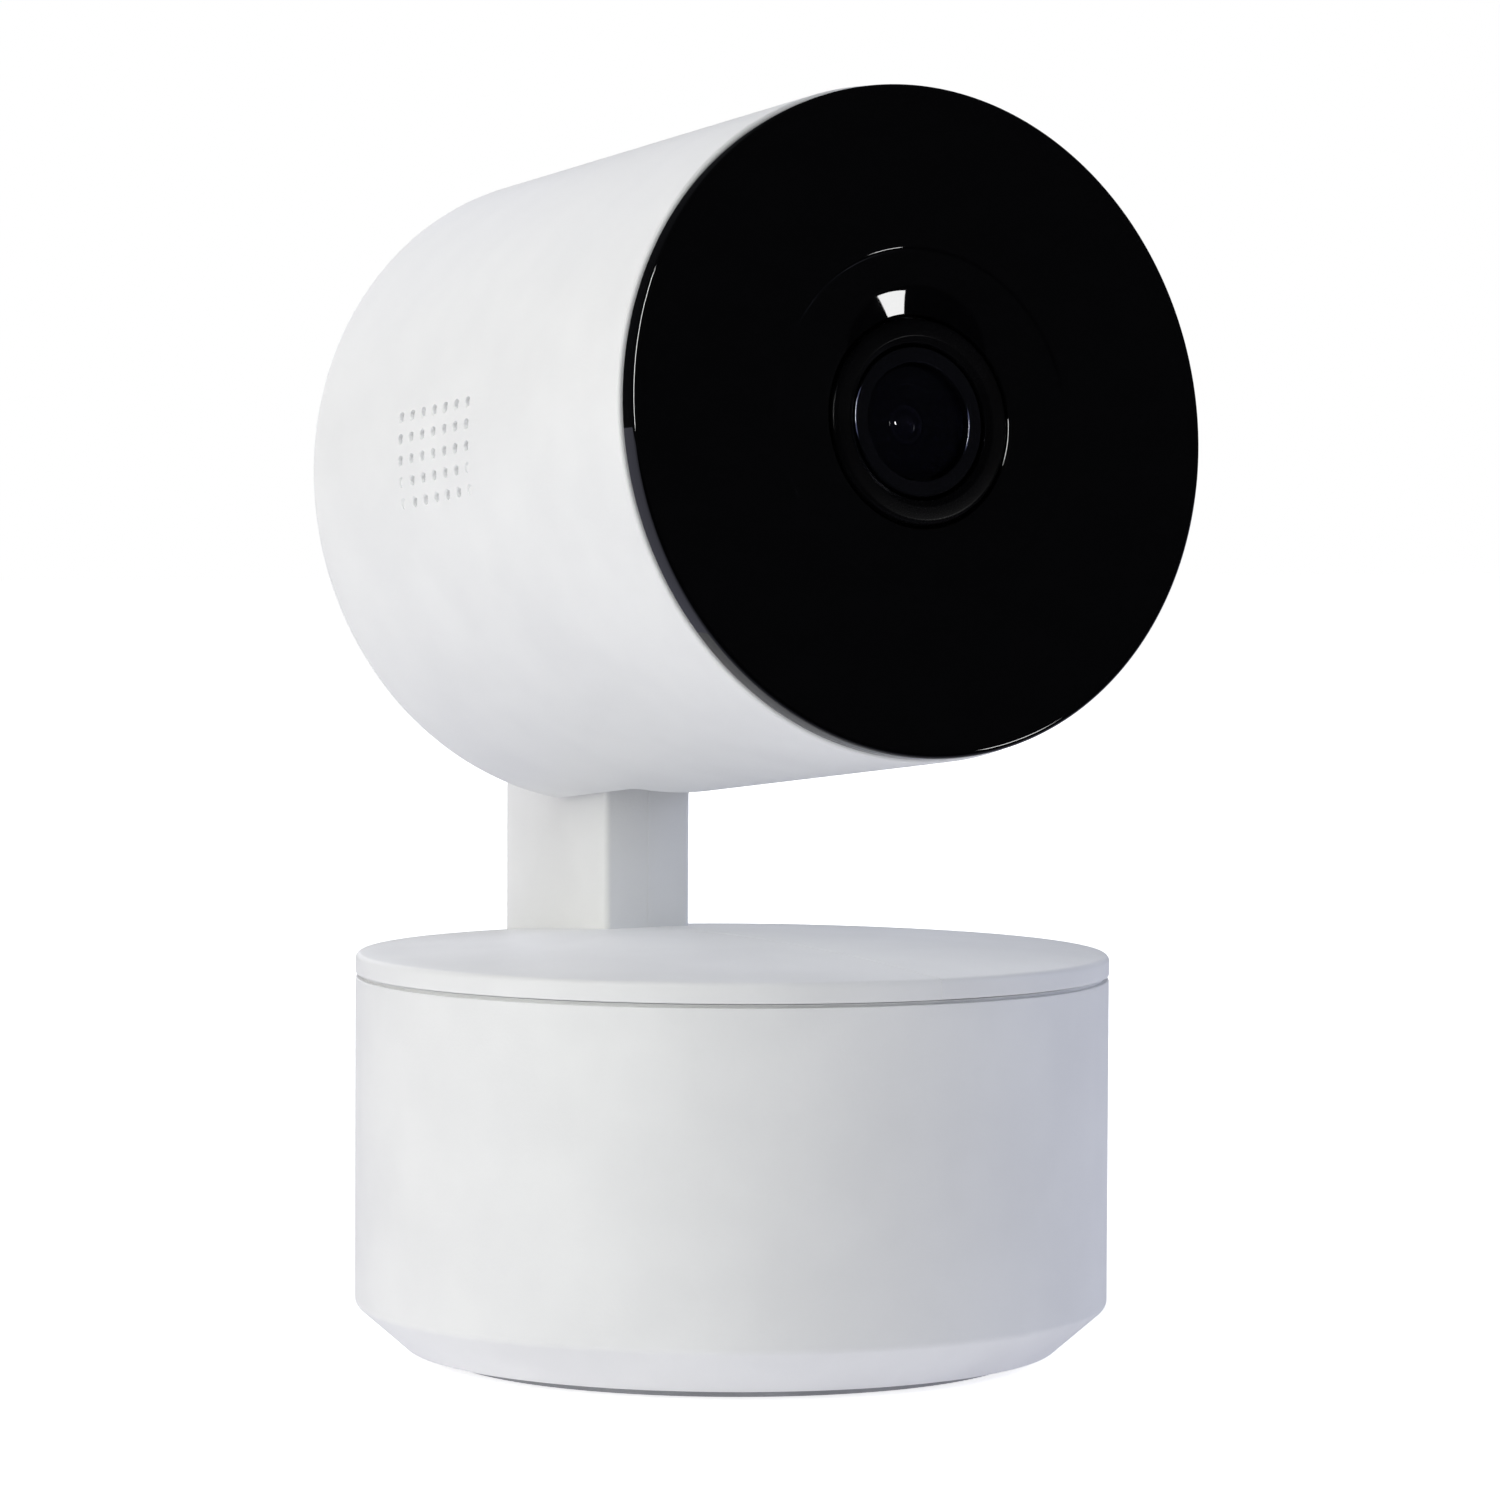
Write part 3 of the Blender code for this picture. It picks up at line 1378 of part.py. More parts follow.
def reset_button():
    """A plunger in the rear wall, with a collar inside that keeps it from falling out."""
    rear = 55.6 * MM
    y, z = head_to_world(rear, RESET_UP)
    seat = pivot("reset_pivot", (RESET_ACROSS, y, z), TILT_REST)
    radius = 1.0 * MM
    length = 4.4 * MM
    edge = 0.2 * MM
    collar = 1.7 * MM
    collar_rear = 2.1 * MM
    collar_front = 2.9 * MM
    profile = [
        (0.0, length),
        (radius, length),
        (radius, collar_front),
        (collar, collar_front),
        (collar, collar_rear),
        (radius, collar_rear),
        (radius, edge),
        (radius - edge, 0.0),
        (0.0, 0.0),
    ]
    item = turned("reset_button", profile, SMALL_SIDES, "grey_plastic")
    return place(item, rotation=FACING_FRONT, parent=seat)


SPEAKER_FACE = -23.2 * MM


def speaker():
    """The round loudspeaker behind the grille, facing left."""
    radius = 9.0 * MM
    magnet = 6.0 * MM
    rear = -4.6 * MM
    cone = [(0.0, -0.5 * MM), (2.6 * MM, -0.9 * MM), (7.4 * MM, -0.3 * MM), (7.8 * MM, 0.0)]
    basket = [(radius, 0.0), (radius, -1.4 * MM), (magnet, -1.9 * MM)]
    profile = [*cone, *basket, (magnet, rear), (0.0, rear)]
    item = turned("speaker", profile, SMALL_SIDES, "chip_black")
    return place(item, head_place(SPEAKER_FACE, GRILLE_BACK, GRILLE_UP), FACING_LEFT, TILT_PIVOT)


def speaker_gasket():
    """A foam ring between the speaker and the shell, its outer end cut to the shell's curve."""
    inner = 7.7 * MM
    outer = 9.0 * MM
    low = GAP
    high = 5.0 * MM
    profile = [(inner, high), (outer, high), (outer, low), (inner, low)]
    item = turned("speaker_gasket", profile, SMALL_SIDES, "foam")
    place(item, head_place(SPEAKER_FACE, GRILLE_BACK, GRILLE_UP), FACING_LEFT, TILT_PIVOT)
    mesh = rod_mesh("shell_inside", HEAD_INSIDE - GAP, length=40.0 * MM, sides=LARGE_SIDES)
    bore = helper("shell_inside", mesh)
    place(bore, head_place(0.0, GRILLE_BACK, 0.0), FACING_FRONT, TILT_PIVOT)
    boolean(item, bore, "INTERSECT")
    return item


def antenna():
    """A flexible aerial bonded to the inside of the shell, at the top."""
    outer = HEAD_INSIDE - GAP
    inner = outer - 0.4 * MM
    start, end = 72.0, 108.0
    length = 20.0 * MM
    middle_back = 34.0 * MM
    outline = arc((0.0, 0.0), outer, start, end, 8) + arc((0.0, 0.0), inner, end, start, 8)
    item = plate("antenna", [outline], length, "flex_cable")
    return place(item, head_place(0.0, middle_back, 0.0), FACING_FRONT, TILT_PIVOT)


# ---------------------------------------------------------------- assembly


def build_base():
    screw_holes = post_screw_holes()
    foot_pad()
    bottom_cover(screw_holes)
    base_screws()
    base_shell()
    base_deck(screw_holes)
    pan_motor()
    base_board()
    usb_socket()


def build_turntable():
    added, removed = turntable_cutters()
    turntable_half("turntable_left", -1, added, removed)
    turntable_half("turntable_right", 1, added, removed)
    hub_holes = removed[-1]
    pan_hub(hub_holes)
    pan_gear()
    hub_clip()
    hub_screws()
    stem_screw()
    flex_cable()
    tilt_axle()
    tilt_gear()
    pan_pinion()


def build_head():
    head_shell()
    front_panel()
    front_frame()
    lamp_board()
    infrared_lamps()
    microphone()
    lens_ring()
    lens_barrel()
    front_lens()
    lens_baffle()
    inner_lens()
    lens_holder()
    filter_slide()
    filter_coil()
    sensor_board()
    image_sensor()
    tilt_bracket()
    bracket_screws()
    bush("bush_left", -1)
    bush("bush_right", 1)
    tilt_motor()
    tilt_pinion()
    main_board()
    processor()
    card_socket()
    reset_switch()
    reset_button()
    speaker()
    speaker_gasket()
    antenna()


build_base()
build_turntable()
build_head()
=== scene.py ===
"""Looks of the pan-tilt indoor camera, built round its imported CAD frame.

The shell pieces, the front panel, the lens and the fittings that show are finely modelled here and stand
for their CAD nodes. The gears, motors, boards and other inside parts stay as CAD nodes and get finished
materials.

Units are metres. Base and turntable pieces are built in the row frame. Head pieces are built in the head's
own directions, (across, back, up) from the middle of its front plane, and HEAD moves them into place.
"""

import json
import math
from functools import cache

import bmesh
import bpy
from mathutils import Matrix, Quaternion, Vector


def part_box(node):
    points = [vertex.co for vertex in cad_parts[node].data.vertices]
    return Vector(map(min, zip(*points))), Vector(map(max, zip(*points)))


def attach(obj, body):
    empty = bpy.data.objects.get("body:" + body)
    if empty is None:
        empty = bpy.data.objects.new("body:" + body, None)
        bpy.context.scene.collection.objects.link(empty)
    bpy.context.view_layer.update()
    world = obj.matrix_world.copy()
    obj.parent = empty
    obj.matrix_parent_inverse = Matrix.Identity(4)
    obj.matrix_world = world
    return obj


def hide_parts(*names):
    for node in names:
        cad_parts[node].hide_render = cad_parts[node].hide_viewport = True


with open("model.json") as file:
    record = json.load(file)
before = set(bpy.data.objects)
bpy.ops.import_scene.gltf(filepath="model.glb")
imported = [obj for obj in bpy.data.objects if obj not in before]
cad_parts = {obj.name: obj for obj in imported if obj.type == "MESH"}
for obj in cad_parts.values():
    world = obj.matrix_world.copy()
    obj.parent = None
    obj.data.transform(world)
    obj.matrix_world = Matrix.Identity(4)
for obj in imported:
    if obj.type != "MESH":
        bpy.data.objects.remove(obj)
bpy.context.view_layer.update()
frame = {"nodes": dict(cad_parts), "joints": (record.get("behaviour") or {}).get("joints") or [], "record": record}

MM = 0.001
FULL_TURN = 2.0 * math.pi
FINE_SIDES = 192
MEDIUM_SIDES = 96
SMALL_SIDES = 40
SMOOTH_ANGLE = math.radians(32.0)


# ------------------------ places read from the frame


def joint(name):
    return next(j for j in frame["joints"] if j["name"] == name)


def span(node, direction, origin=Vector()):
    """The lowest and highest reach of a CAD node along a direction."""
    reaches = [(v.co - origin).dot(direction) for v in frame["nodes"][node].data.vertices]
    return min(reaches), max(reaches)


def middle(node, direction, origin=Vector()):
    return sum(span(node, direction, origin)) / 2.0


ACROSS = Vector((1.0, 0.0, 0.0))
BACK = -Vector(joint("reset_press")["axis"]).normalized()
UP = ACROSS.cross(BACK).normalized()

PANEL_LOW, PANEL_HIGH = span("front_panel", BACK)
HEAD_ORIGIN = BACK * PANEL_HIGH + UP * middle("front_panel", UP)
HEAD = Matrix.Translation(HEAD_ORIGIN) @ Matrix((ACROSS, BACK, UP)).transposed().to_4x4()


def head_span(node, direction):
    return span(node, direction, HEAD_ORIGIN)


def head_middle(node, direction):
    return middle(node, direction, HEAD_ORIGIN)


BASE_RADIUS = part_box("base_shell")[1].x
BASE_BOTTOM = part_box("base_shell")[0].z
BASE_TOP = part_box("base_shell")[1].z
CAP_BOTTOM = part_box("turntable_left")[0].z
AXLE = Vector(joint("tilt")["pos_m"])
HEAD_RADIUS = head_span("head_shell", ACROSS)[1]
HEAD_LENGTH = head_span("head_shell", BACK)[1]
PANEL_RADIUS = head_span("front_panel", ACROSS)[1]
PANEL_PROUD = PANEL_HIGH - PANEL_LOW


# ------------------------ mesh tools


def mesh_object(name, work, matrix=Matrix()):
    """An object of this bmesh, moved by the matrix, with its faces smooth up to SMOOTH_ANGLE."""
    bmesh.ops.recalc_face_normals(work, faces=work.faces)
    work.transform(matrix)
    mesh = bpy.data.meshes.new(name)
    work.to_mesh(mesh)
    work.free()
    finish_shading(mesh)
    item = bpy.data.objects.new(name, mesh)
    bpy.context.scene.collection.objects.link(item)
    return item


def finish_shading(mesh):
    mesh.polygons.foreach_set("use_smooth", [True] * len(mesh.polygons))
    mesh.set_sharp_from_angle(angle=SMOOTH_ANGLE)


def arc(centre, radius, start, end, steps):
    """Points on an arc, from the start angle to the end angle in degrees, both ends included."""
    angles = [math.radians(start + (end - start) * i / steps) for i in range(steps + 1)]
    return [(centre[0] + radius * math.cos(a), centre[1] + radius * math.sin(a)) for a in angles]


def rounded(corners, closed=True, steps=6):
    """An outline from (x, y) or (x, y, radius) corners. A corner that has a radius is rounded by an arc."""
    points = []
    count = len(corners)
    for i, corner in enumerate(corners):
        here = Vector(corner[:2])
        radius = corner[2] if len(corner) > 2 else 0.0
        at_end = not closed and i in (0, count - 1)
        if radius <= 0.0 or at_end:
            points.append(tuple(here))
            continue
        before = (Vector(corners[i - 1][:2]) - here).normalized()
        after = (Vector(corners[(i + 1) % count][:2]) - here).normalized()
        half = before.angle(after) / 2.0
        centre = here + (before + after).normalized() * radius / math.sin(half)
        start = here + before * radius / math.tan(half) - centre
        turn = start.angle_signed(here + after * radius / math.tan(half) - centre)
        for step in range(steps + 1):
            points.append(tuple(centre + Matrix.Rotation(-turn * step / steps, 2) @ start))
    return points


def rectangle(x_low, x_high, y_low, y_high, *radius):
    """The corners of a rectangle, each with the radius if there is one."""
    places = ((x_low, y_low), (x_high, y_low), (x_high, y_high), (x_low, y_high))
    return [(x, y, *radius) for x, y in places]


def lathe(profile, sides, closed=True):
    """A turned solid about Z as a bmesh, from (radius, height) points.

    An open profile starts and ends on the axis.
    """
    work = bmesh.new()
    verts = [work.verts.new((radius, 0.0, height)) for radius, height in profile]
    edges = [work.edges.new(pair) for pair in zip(verts, verts[1:])]
    if closed:
        edges.append(work.edges.new((verts[-1], verts[0])))
    bmesh.ops.spin(
        work,
        geom=verts + edges,
        cent=(0.0, 0.0, 0.0),
        axis=(0.0, 0.0, 1.0),
        angle=FULL_TURN,
        steps=sides,
        use_merge=True,
    )
    bmesh.ops.remove_doubles(work, verts=work.verts, dist=0.0005 * MM)
    return work


def pin(radius, low, high):
    """A plain round tool about Z, between two heights."""
    return lathe([(0.0, low), (radius, low), (radius, high), (0.0, high)], SMALL_SIDES, closed=False)


FACE_FRONT = Matrix.Rotation(math.pi / 2.0, 4, "X")
FACE_LEFT = Matrix.Rotation(-math.pi / 2.0, 4, "Y")
SIDE_ON = Matrix.Rotation(math.pi / 2.0, 4, "Z") @ Matrix.Rotation(math.pi / 2.0, 4, "X")


def head_lathe(profile, sides, closed=True, at=(0.0, 0.0, 0.0)):
    """A turned solid about a line along the head's axis, with its heights ahead of the front plane."""
    work = lathe(profile, sides, closed)
    work.transform(Matrix.Translation(at) @ FACE_FRONT)
    return work


def prism(outline, low, high):
    """A solid from an (x, y) outline, between two heights, as a bmesh."""
    work = bmesh.new()
    face = work.faces.new([work.verts.new((x, y, low)) for x, y in outline])
    made = bmesh.ops.extrude_face_region(work, geom=[face])
    moved = [part for part in made["geom"] if isinstance(part, bmesh.types.BMVert)]
    bmesh.ops.translate(work, verts=moved, vec=(0.0, 0.0, high - low))
    bmesh.ops.recalc_face_normals(work, faces=work.faces)
    return work


def merged(parts):
    """One bmesh that holds all these bmeshes."""
    whole = bmesh.new()
    for part in parts:
        mesh = bpy.data.meshes.new("part")
        part.to_mesh(mesh)
        part.free()
        whole.from_mesh(mesh)
        bpy.data.meshes.remove(mesh)
    return whole


def round_edges(work, width, steps, above=40.0):
    """Rounds the edges that turn by more than this many degrees."""
    sharp = [e for e in work.edges if e.is_manifold and e.calc_face_angle() > math.radians(above)]
    bevel(work, sharp, width, steps)
    return work


def bevel(work, edges, width, steps):
    bmesh.ops.bevel(
        work, geom=edges, offset=width, segments=steps, profile=0.5, affect="EDGES", clamp_overlap=True
    )


def combine(item, operation, *works):
    """Applies a Boolean of each bmesh to the item's mesh."""
    for work in works:
        other = mesh_object("tool", work)
        change = item.modifiers.new("shape", "BOOLEAN")
        change.operation = operation
        change.object = other
        change.solver = "EXACT"
        bpy.context.view_layer.update()
        graph = bpy.context.evaluated_depsgraph_get()
        mesh = bpy.data.meshes.new_from_object(item.evaluated_get(graph))
        item.modifiers.remove(change)
        old = item.data
        item.data = mesh
        tool_mesh = other.data
        bpy.data.objects.remove(other)
        bpy.data.meshes.remove(tool_mesh)
        bpy.data.meshes.remove(old)
    item.data.name = item.name
    finish_shading(item.data)
    return item


def add_piece(item, body, look, *nodes, slot=None):
    """Gives a piece its look, sets it on its body and hides the CAD nodes it stands for."""
    item.data.materials.clear()
    item.data.materials.append(FINISHES[look]())
    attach(item, body)
    if nodes:
        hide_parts(*nodes)


# ------------------------ materials


FINISHES = {}


def finish(build):
    """Registers the maker of a material. The cache lets all pieces of one finish share it."""
    FINISHES[build.__name__] = cache(build)
    return build


class Surface:
    """A material's node tree, with a Principled shader and short ways to add procedural detail to it."""

    def __init__(self, name):
        self.material = bpy.data.materials.new(name)
        self.material.use_nodes = True
        self.tree = self.material.node_tree
        self.shader = self.tree.nodes["Principled BSDF"]
        self.place = self.tree.nodes.new("ShaderNodeTexCoord").outputs["Object"]

    def node(self, kind, **inputs):
        made = self.tree.nodes.new(kind)
        for key, value in inputs.items():
            made.inputs[key.replace("_", " ")].default_value = value
        return made

    def link(self, output, node, name):
        self.tree.links.new(output, node.inputs[name])

    def stretched(self, scale):
        mapping = self.node("ShaderNodeMapping", Scale=scale)
        self.link(self.place, mapping, "Vector")
        return mapping.outputs["Vector"]

    def noise(self, size, detail=3.0, roughness=0.55, stretch=(1.0, 1.0, 1.0)):
        """Cloudy noise between 0 and 1, with features about this many metres wide."""
        made = self.node("ShaderNodeTexNoise", Scale=1.0 / size, Detail=detail, Roughness=roughness)
        self.link(self.stretched(stretch), made, "Vector")
        return made.outputs["Fac"]

    def cells(self, size, feature="F1"):
        made = self.node("ShaderNodeTexVoronoi", Scale=1.0 / size)
        made.feature = feature
        self.link(self.place, made, "Vector")
        return made.outputs["Distance"]

    def ramp(self, value, low, high, to_low=0.0, to_high=1.0):
        """The value rescaled from low..high to to_low..to_high, and held at the ends."""
        ends = {"From_Min": low, "From_Max": high, "To_Min": to_low, "To_Max": to_high}
        made = self.node("ShaderNodeMapRange", **ends)
        self.link(value, made, "Value")
        return made.outputs["Result"]

    def blend(self, factor, first, second):
        made = self.tree.nodes.new("ShaderNodeMix")
        made.data_type = "RGBA"
        self.tree.links.new(factor, made.inputs[0])
        for socket, colour in ((made.inputs[6], first), (made.inputs[7], second)):
            if isinstance(colour, tuple):
                socket.default_value = (*colour, 1.0)
            else:
                self.tree.links.new(colour, socket)
        return made.outputs[2]

    def sum(self, first, second):
        made = self.tree.nodes.new("ShaderNodeMath")
        made.operation = "ADD"
        self.tree.links.new(first, made.inputs[0])
        self.tree.links.new(second, made.inputs[1])
        return made.outputs[0]

    def colour(self, output):
        self.link(output, self.shader, "Base Color")

    def roughness(self, output):
        self.link(output, self.shader, "Roughness")

    def bump(self, height, depth, strength=1.0):
        """Relief of this depth in metres."""
        made = self.node("ShaderNodeBump", Strength=strength, Distance=depth)
        self.link(height, made, "Height")
        self.link(made.outputs["Normal"], self.shader, "Normal")

    def set(self, **inputs):
        for key, value in inputs.items():
            self.shader.inputs[key.replace("_", " ")].default_value = value


def moulded(name, tones, roughness, grain=0.28 * MM, relief=0.012 * MM, **inputs):
    """Moulded plastic: fine spark-eroded grain, slow mottling of tone and slightly uneven sheen."""
    surface = Surface(name)
    slow = surface.noise(9.0 * MM, detail=2.0)
    fine = surface.noise(grain, detail=2.0, roughness=0.6)
    surface.colour(surface.blend(surface.ramp(slow, 0.35, 0.65), *tones))
    share = 0.03
    both = [surface.ramp(noise, 0.3, 0.7, -share, share) for noise in (slow, fine)]
    mixed = surface.sum(*both)
    spread = 2.0 * share
    surface.roughness(surface.ramp(mixed, -spread, spread, roughness - spread, roughness + spread))
    surface.bump(fine, relief)
    surface.set(**inputs)
    return surface.material


@finish
def white_shell():
    return moulded("white_shell", ((0.815, 0.82, 0.83), (0.845, 0.85, 0.858)), 0.48)


@finish
def gloss_black():
    """Polished black acrylic with faint wipe marks."""
    surface = Surface("gloss_black")
    haze = surface.noise(6.0 * MM, detail=4.0, stretch=(1.0, 1.0, 2.5))
    tones = ((0.0009, 0.0009, 0.0011), (0.0014, 0.0014, 0.0017))
    surface.colour(surface.blend(surface.ramp(haze, 0.4, 0.7), *tones))
    surface.roughness(surface.ramp(haze, 0.35, 0.75, 0.006, 0.03))
    surface.bump(surface.noise(14.0 * MM, detail=1.0), 0.01 * MM, 0.3)
    surface.set(Specular_IOR_Level=0.5)
    return surface.material


@finish
def satin_black():
    tones = ((0.0022, 0.0022, 0.0026), (0.0034, 0.0034, 0.0040))
    return moulded("satin_black", tones, 0.24, 0.12 * MM, 0.004 * MM, Specular_IOR_Level=0.15)


@finish
def tube_black():
    """Anodised black of the lens barrel, smooth enough for its edges to catch thin lines of light."""
    tones = ((0.002, 0.002, 0.003), (0.003, 0.003, 0.004))
    coat = {"Coat_Weight": 0.5, "Coat_Roughness": 0.05, "Coat_Tint": (0.80, 0.84, 1.0, 1.0)}
    return moulded("tube_black", tones, 0.10, 0.1 * MM, 0.001 * MM, **coat)


@finish
def grey_rubber():
    tones = ((0.40, 0.41, 0.43), (0.47, 0.48, 0.50))
    return moulded("grey_rubber", tones, 0.82, 0.2 * MM, 0.03 * MM, Specular_IOR_Level=0.3)


@finish
def grey_plastic():
    tones = ((0.25, 0.26, 0.27), (0.32, 0.33, 0.34))
    return moulded("grey_plastic", tones, 0.5, 0.3 * MM, 0.02 * MM)


@finish
def acetal():
    """Milky machined acetal."""
    tones = ((0.80, 0.79, 0.74), (0.88, 0.87, 0.83))
    depth = {"Subsurface_Weight": 0.08, "Subsurface_Scale": 0.8 * MM}
    return moulded("acetal", tones, 0.38, 0.5 * MM, 0.006 * MM, **depth)


@finish
def chip_black():
    tones = ((0.016, 0.016, 0.018), (0.030, 0.030, 0.033))
    return moulded("chip_black", tones, 0.55, 0.12 * MM, 0.015 * MM)


@finish
def foam():
    """Open-cell foam: pores with painted shade at their middles, and a dusty grey-black tone."""
    surface = Surface("foam")
    pores = surface.cells(0.45 * MM)
    # The darker tone at the pores' middles is painted shade in the hollows; the paler tone is the cell walls.
    tones = ((0.012, 0.012, 0.013), (0.07, 0.07, 0.072))
    surface.colour(surface.blend(surface.ramp(pores, 0.1, 0.6), *tones))
    surface.roughness(surface.ramp(pores, 0.0, 1.0, 0.9, 1.0))
    surface.bump(pores, 0.12 * MM)
    return surface.material


def metal(name, tones, roughness, grain, stretch):
    """Worked metal: drawn or ground lines and slightly stained tone."""
    surface = Surface(name)
    lines = surface.noise(grain, detail=4.0, stretch=stretch)
    stain = surface.noise(5.0 * MM, detail=3.0)
    surface.colour(surface.blend(surface.ramp(stain, 0.35, 0.7), *tones))
    surface.roughness(surface.ramp(lines, 0.3, 0.7, roughness - 0.08, roughness + 0.1))
    surface.bump(lines, 0.004 * MM)
    surface.set(Metallic=1.0)
    return surface.material


@finish
def steel():
    return metal("steel", ((0.56, 0.56, 0.57), (0.64, 0.64, 0.65)), 0.3, 0.3 * MM, (1.0, 1.0, 0.08))


@finish
def zinc_screw():
    return metal("zinc_screw", ((0.50, 0.51, 0.53), (0.60, 0.60, 0.61)), 0.34, 0.2 * MM, (1.0, 1.0, 1.0))


@finish
def bronze():
    return metal("bronze", ((0.50, 0.31, 0.15), (0.62, 0.40, 0.20)), 0.4, 0.25 * MM, (1.0, 0.1, 1.0))


@finish
def socket_metal():
    return metal("socket_metal", ((0.62, 0.62, 0.63), (0.72, 0.72, 0.73)), 0.27, 0.2 * MM, (1.0, 0.06, 1.0))


@finish
def circuit_board():
    """Green solder mask with darker copper-free lanes and a regular weave of glass cloth under it."""
    surface = Surface("circuit_board")
    weave = surface.cells(1.1 * MM, "DISTANCE_TO_EDGE")
    lanes = surface.noise(2.4 * MM, detail=0.0, stretch=(1.0, 0.25, 1.0))
    base = surface.blend(surface.ramp(lanes, 0.47, 0.53), (0.010, 0.075, 0.032), (0.022, 0.14, 0.060))
    surface.colour(surface.blend(surface.ramp(weave, 0.02, 0.05), (0.016, 0.10, 0.045), base))
    surface.roughness(surface.ramp(lanes, 0.4, 0.6, 0.28, 0.42))
    surface.bump(lanes, 0.03 * MM)
    return surface.material


@finish
def flex_cable():
    """Amber polyimide film over copper lanes that run along the cable."""
    surface = Surface("flex_cable")
    lanes = surface.tree.nodes.new("ShaderNodeTexWave")
    lanes.bands_direction = "X"
    lanes.inputs["Scale"].default_value = 0.32 / (1.0 * MM)
    surface.link(surface.place, lanes, "Vector")
    height = lanes.outputs["Fac"]
    surface.colour(surface.blend(surface.ramp(height, 0.4, 0.6), (0.42, 0.20, 0.035), (0.72, 0.36, 0.07)))
    surface.roughness(surface.ramp(height, 0.0, 1.0, 0.28, 0.4))
    surface.bump(height, 0.02 * MM)
    surface.set(Coat_Weight=0.6, Coat_Roughness=0.12)
    return surface.material


@finish
def lens_glass():
    """Clear coated glass with a blue bloom in its reflections and faint dust."""
    surface = Surface("lens_glass")
    dust = surface.noise(0.6 * MM, detail=3.0)
    surface.roughness(surface.ramp(dust, 0.45, 0.8, 0.0, 0.02))
    tones = ((0.002, 0.002, 0.006), (0.004, 0.004, 0.009))
    surface.colour(surface.blend(surface.ramp(dust, 0.3, 0.8), *tones))
    surface.set(Alpha=0.25, IOR=1.7, Specular_Tint=(0.72, 0.76, 1.0, 1.0))
    return surface.material


@finish
def filter_glass():
    surface = Surface("filter_glass")
    tint = surface.noise(1.5 * MM, detail=1.0)
    surface.colour(surface.blend(surface.ramp(tint, 0.3, 0.7), (0.20, 0.42, 0.48), (0.26, 0.50, 0.55)))
    surface.roughness(surface.ramp(tint, 0.3, 0.7, 0.02, 0.05))
    surface.set(Transmission_Weight=0.8, IOR=1.5)
    return surface.material


@finish
def led_lens():
    """Clear epoxy over a pale die."""
    surface = Surface("led_lens")
    cloud = surface.noise(0.5 * MM, detail=2.0)
    surface.colour(surface.blend(surface.ramp(cloud, 0.35, 0.65), (0.50, 0.50, 0.56), (0.62, 0.62, 0.68)))
    surface.roughness(surface.ramp(cloud, 0.3, 0.7, 0.06, 0.14))
    surface.set(Transmission_Weight=0.4, Coat_Weight=0.5)
    return surface.material


@finish
def mesh_cloth():
    """White acoustic mesh behind the speaker's holes: crossed threads with shaded gaps."""
    surface = Surface("mesh_cloth")
    threads = surface.cells(0.16 * MM)
    surface.colour(surface.blend(surface.ramp(threads, 0.25, 0.6), (0.87, 0.87, 0.89), (0.76, 0.77, 0.79)))
    surface.roughness(surface.ramp(threads, 0.0, 1.0, 0.6, 0.8))
    surface.bump(threads, 0.03 * MM)
    return surface.material


@finish
def inner_glass():
    """The inner lens is backed by the dark barrel, so it is near black with a violet coating."""
    surface = Surface("inner_glass")
    depth = surface.noise(1.2 * MM, detail=1.0)
    tones = ((0.004, 0.004, 0.010), (0.010, 0.008, 0.020))
    surface.colour(surface.blend(surface.ramp(depth, 0.3, 0.7), *tones))
    surface.roughness(surface.ramp(depth, 0.3, 0.7, 0.0, 0.02))
    surface.set(Coat_Weight=1.0, Coat_Roughness=0.0, Coat_IOR=1.6)
    return surface.material


# ------------------------ base


def base_housing():
    """A thin cup with a lip behind the cap's gap, a chamfered foot and the socket's opening."""
    inner = BASE_RADIUS - 2.0 * MM
    lip_radius = BASE_RADIUS - 0.5 * MM
    lip_top = BASE_TOP + 0.75 * (CAP_BOTTOM - BASE_TOP)
    foot_radius = 29.4 * MM
    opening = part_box("bottom_cover")[1].x + 0.3 * MM
    opening_top = 3.8 * MM
    chamfer_top = 4.9 * MM
    thick_inner = inner - 1.2 * MM
    thick_from = 6.6 * MM
    thick_to = 25.7 * MM
    profile = rounded(
        [
            (inner, lip_top),
            (lip_radius, lip_top),
            (lip_radius, BASE_TOP),
            (BASE_RADIUS, BASE_TOP, 0.15 * MM),
            (BASE_RADIUS, chamfer_top, 0.9 * MM),
            (foot_radius, BASE_BOTTOM, 0.45 * MM),
            (opening, BASE_BOTTOM, 0.2 * MM),
            (opening, opening_top),
            (thick_inner, thick_from),
            (thick_inner, thick_to),
            (inner, thick_to),
        ]
    )
    item = mesh_object("base_housing", lathe(profile, FINE_SIDES))
    port_half_width = 5.3 * MM
    port_bottom = 8.7 * MM
    port_top = 13.5 * MM
    corners = rectangle(-port_half_width, port_half_width, port_bottom, port_top, 1.4 * MM)
    through = prism(rounded(corners), -BASE_RADIUS - 2.0 * MM, -26.0 * MM)
    through.transform(FACE_FRONT)
    combine(item, "DIFFERENCE", through)
    add_piece(item, "base", "white_shell", "base_shell")


def foot_ring():
    """The soft ring the camera stands on, with two shallow grip grooves."""
    low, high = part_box("foot_pad")
    inner = 21.5 * MM
    outer = high.x
    groove = 0.35 * MM
    groove_edge = 0.1 * MM
    edge = 0.25 * MM
    corners = [(inner, high.z), (outer, high.z), (outer, low.z, edge)]
    for centre in (outer - 1.7 * MM, inner + 1.6 * MM):
        corners.append((centre + groove, low.z, groove_edge))
        corners.append((centre, low.z + groove, groove_edge))
        corners.append((centre - groove, low.z, groove_edge))
    corners.append((inner, low.z, edge))
    item = mesh_object("foot_ring", lathe(rounded(corners, steps=3), FINE_SIDES))
    add_piece(item, "base", "grey_rubber", "foot_pad")


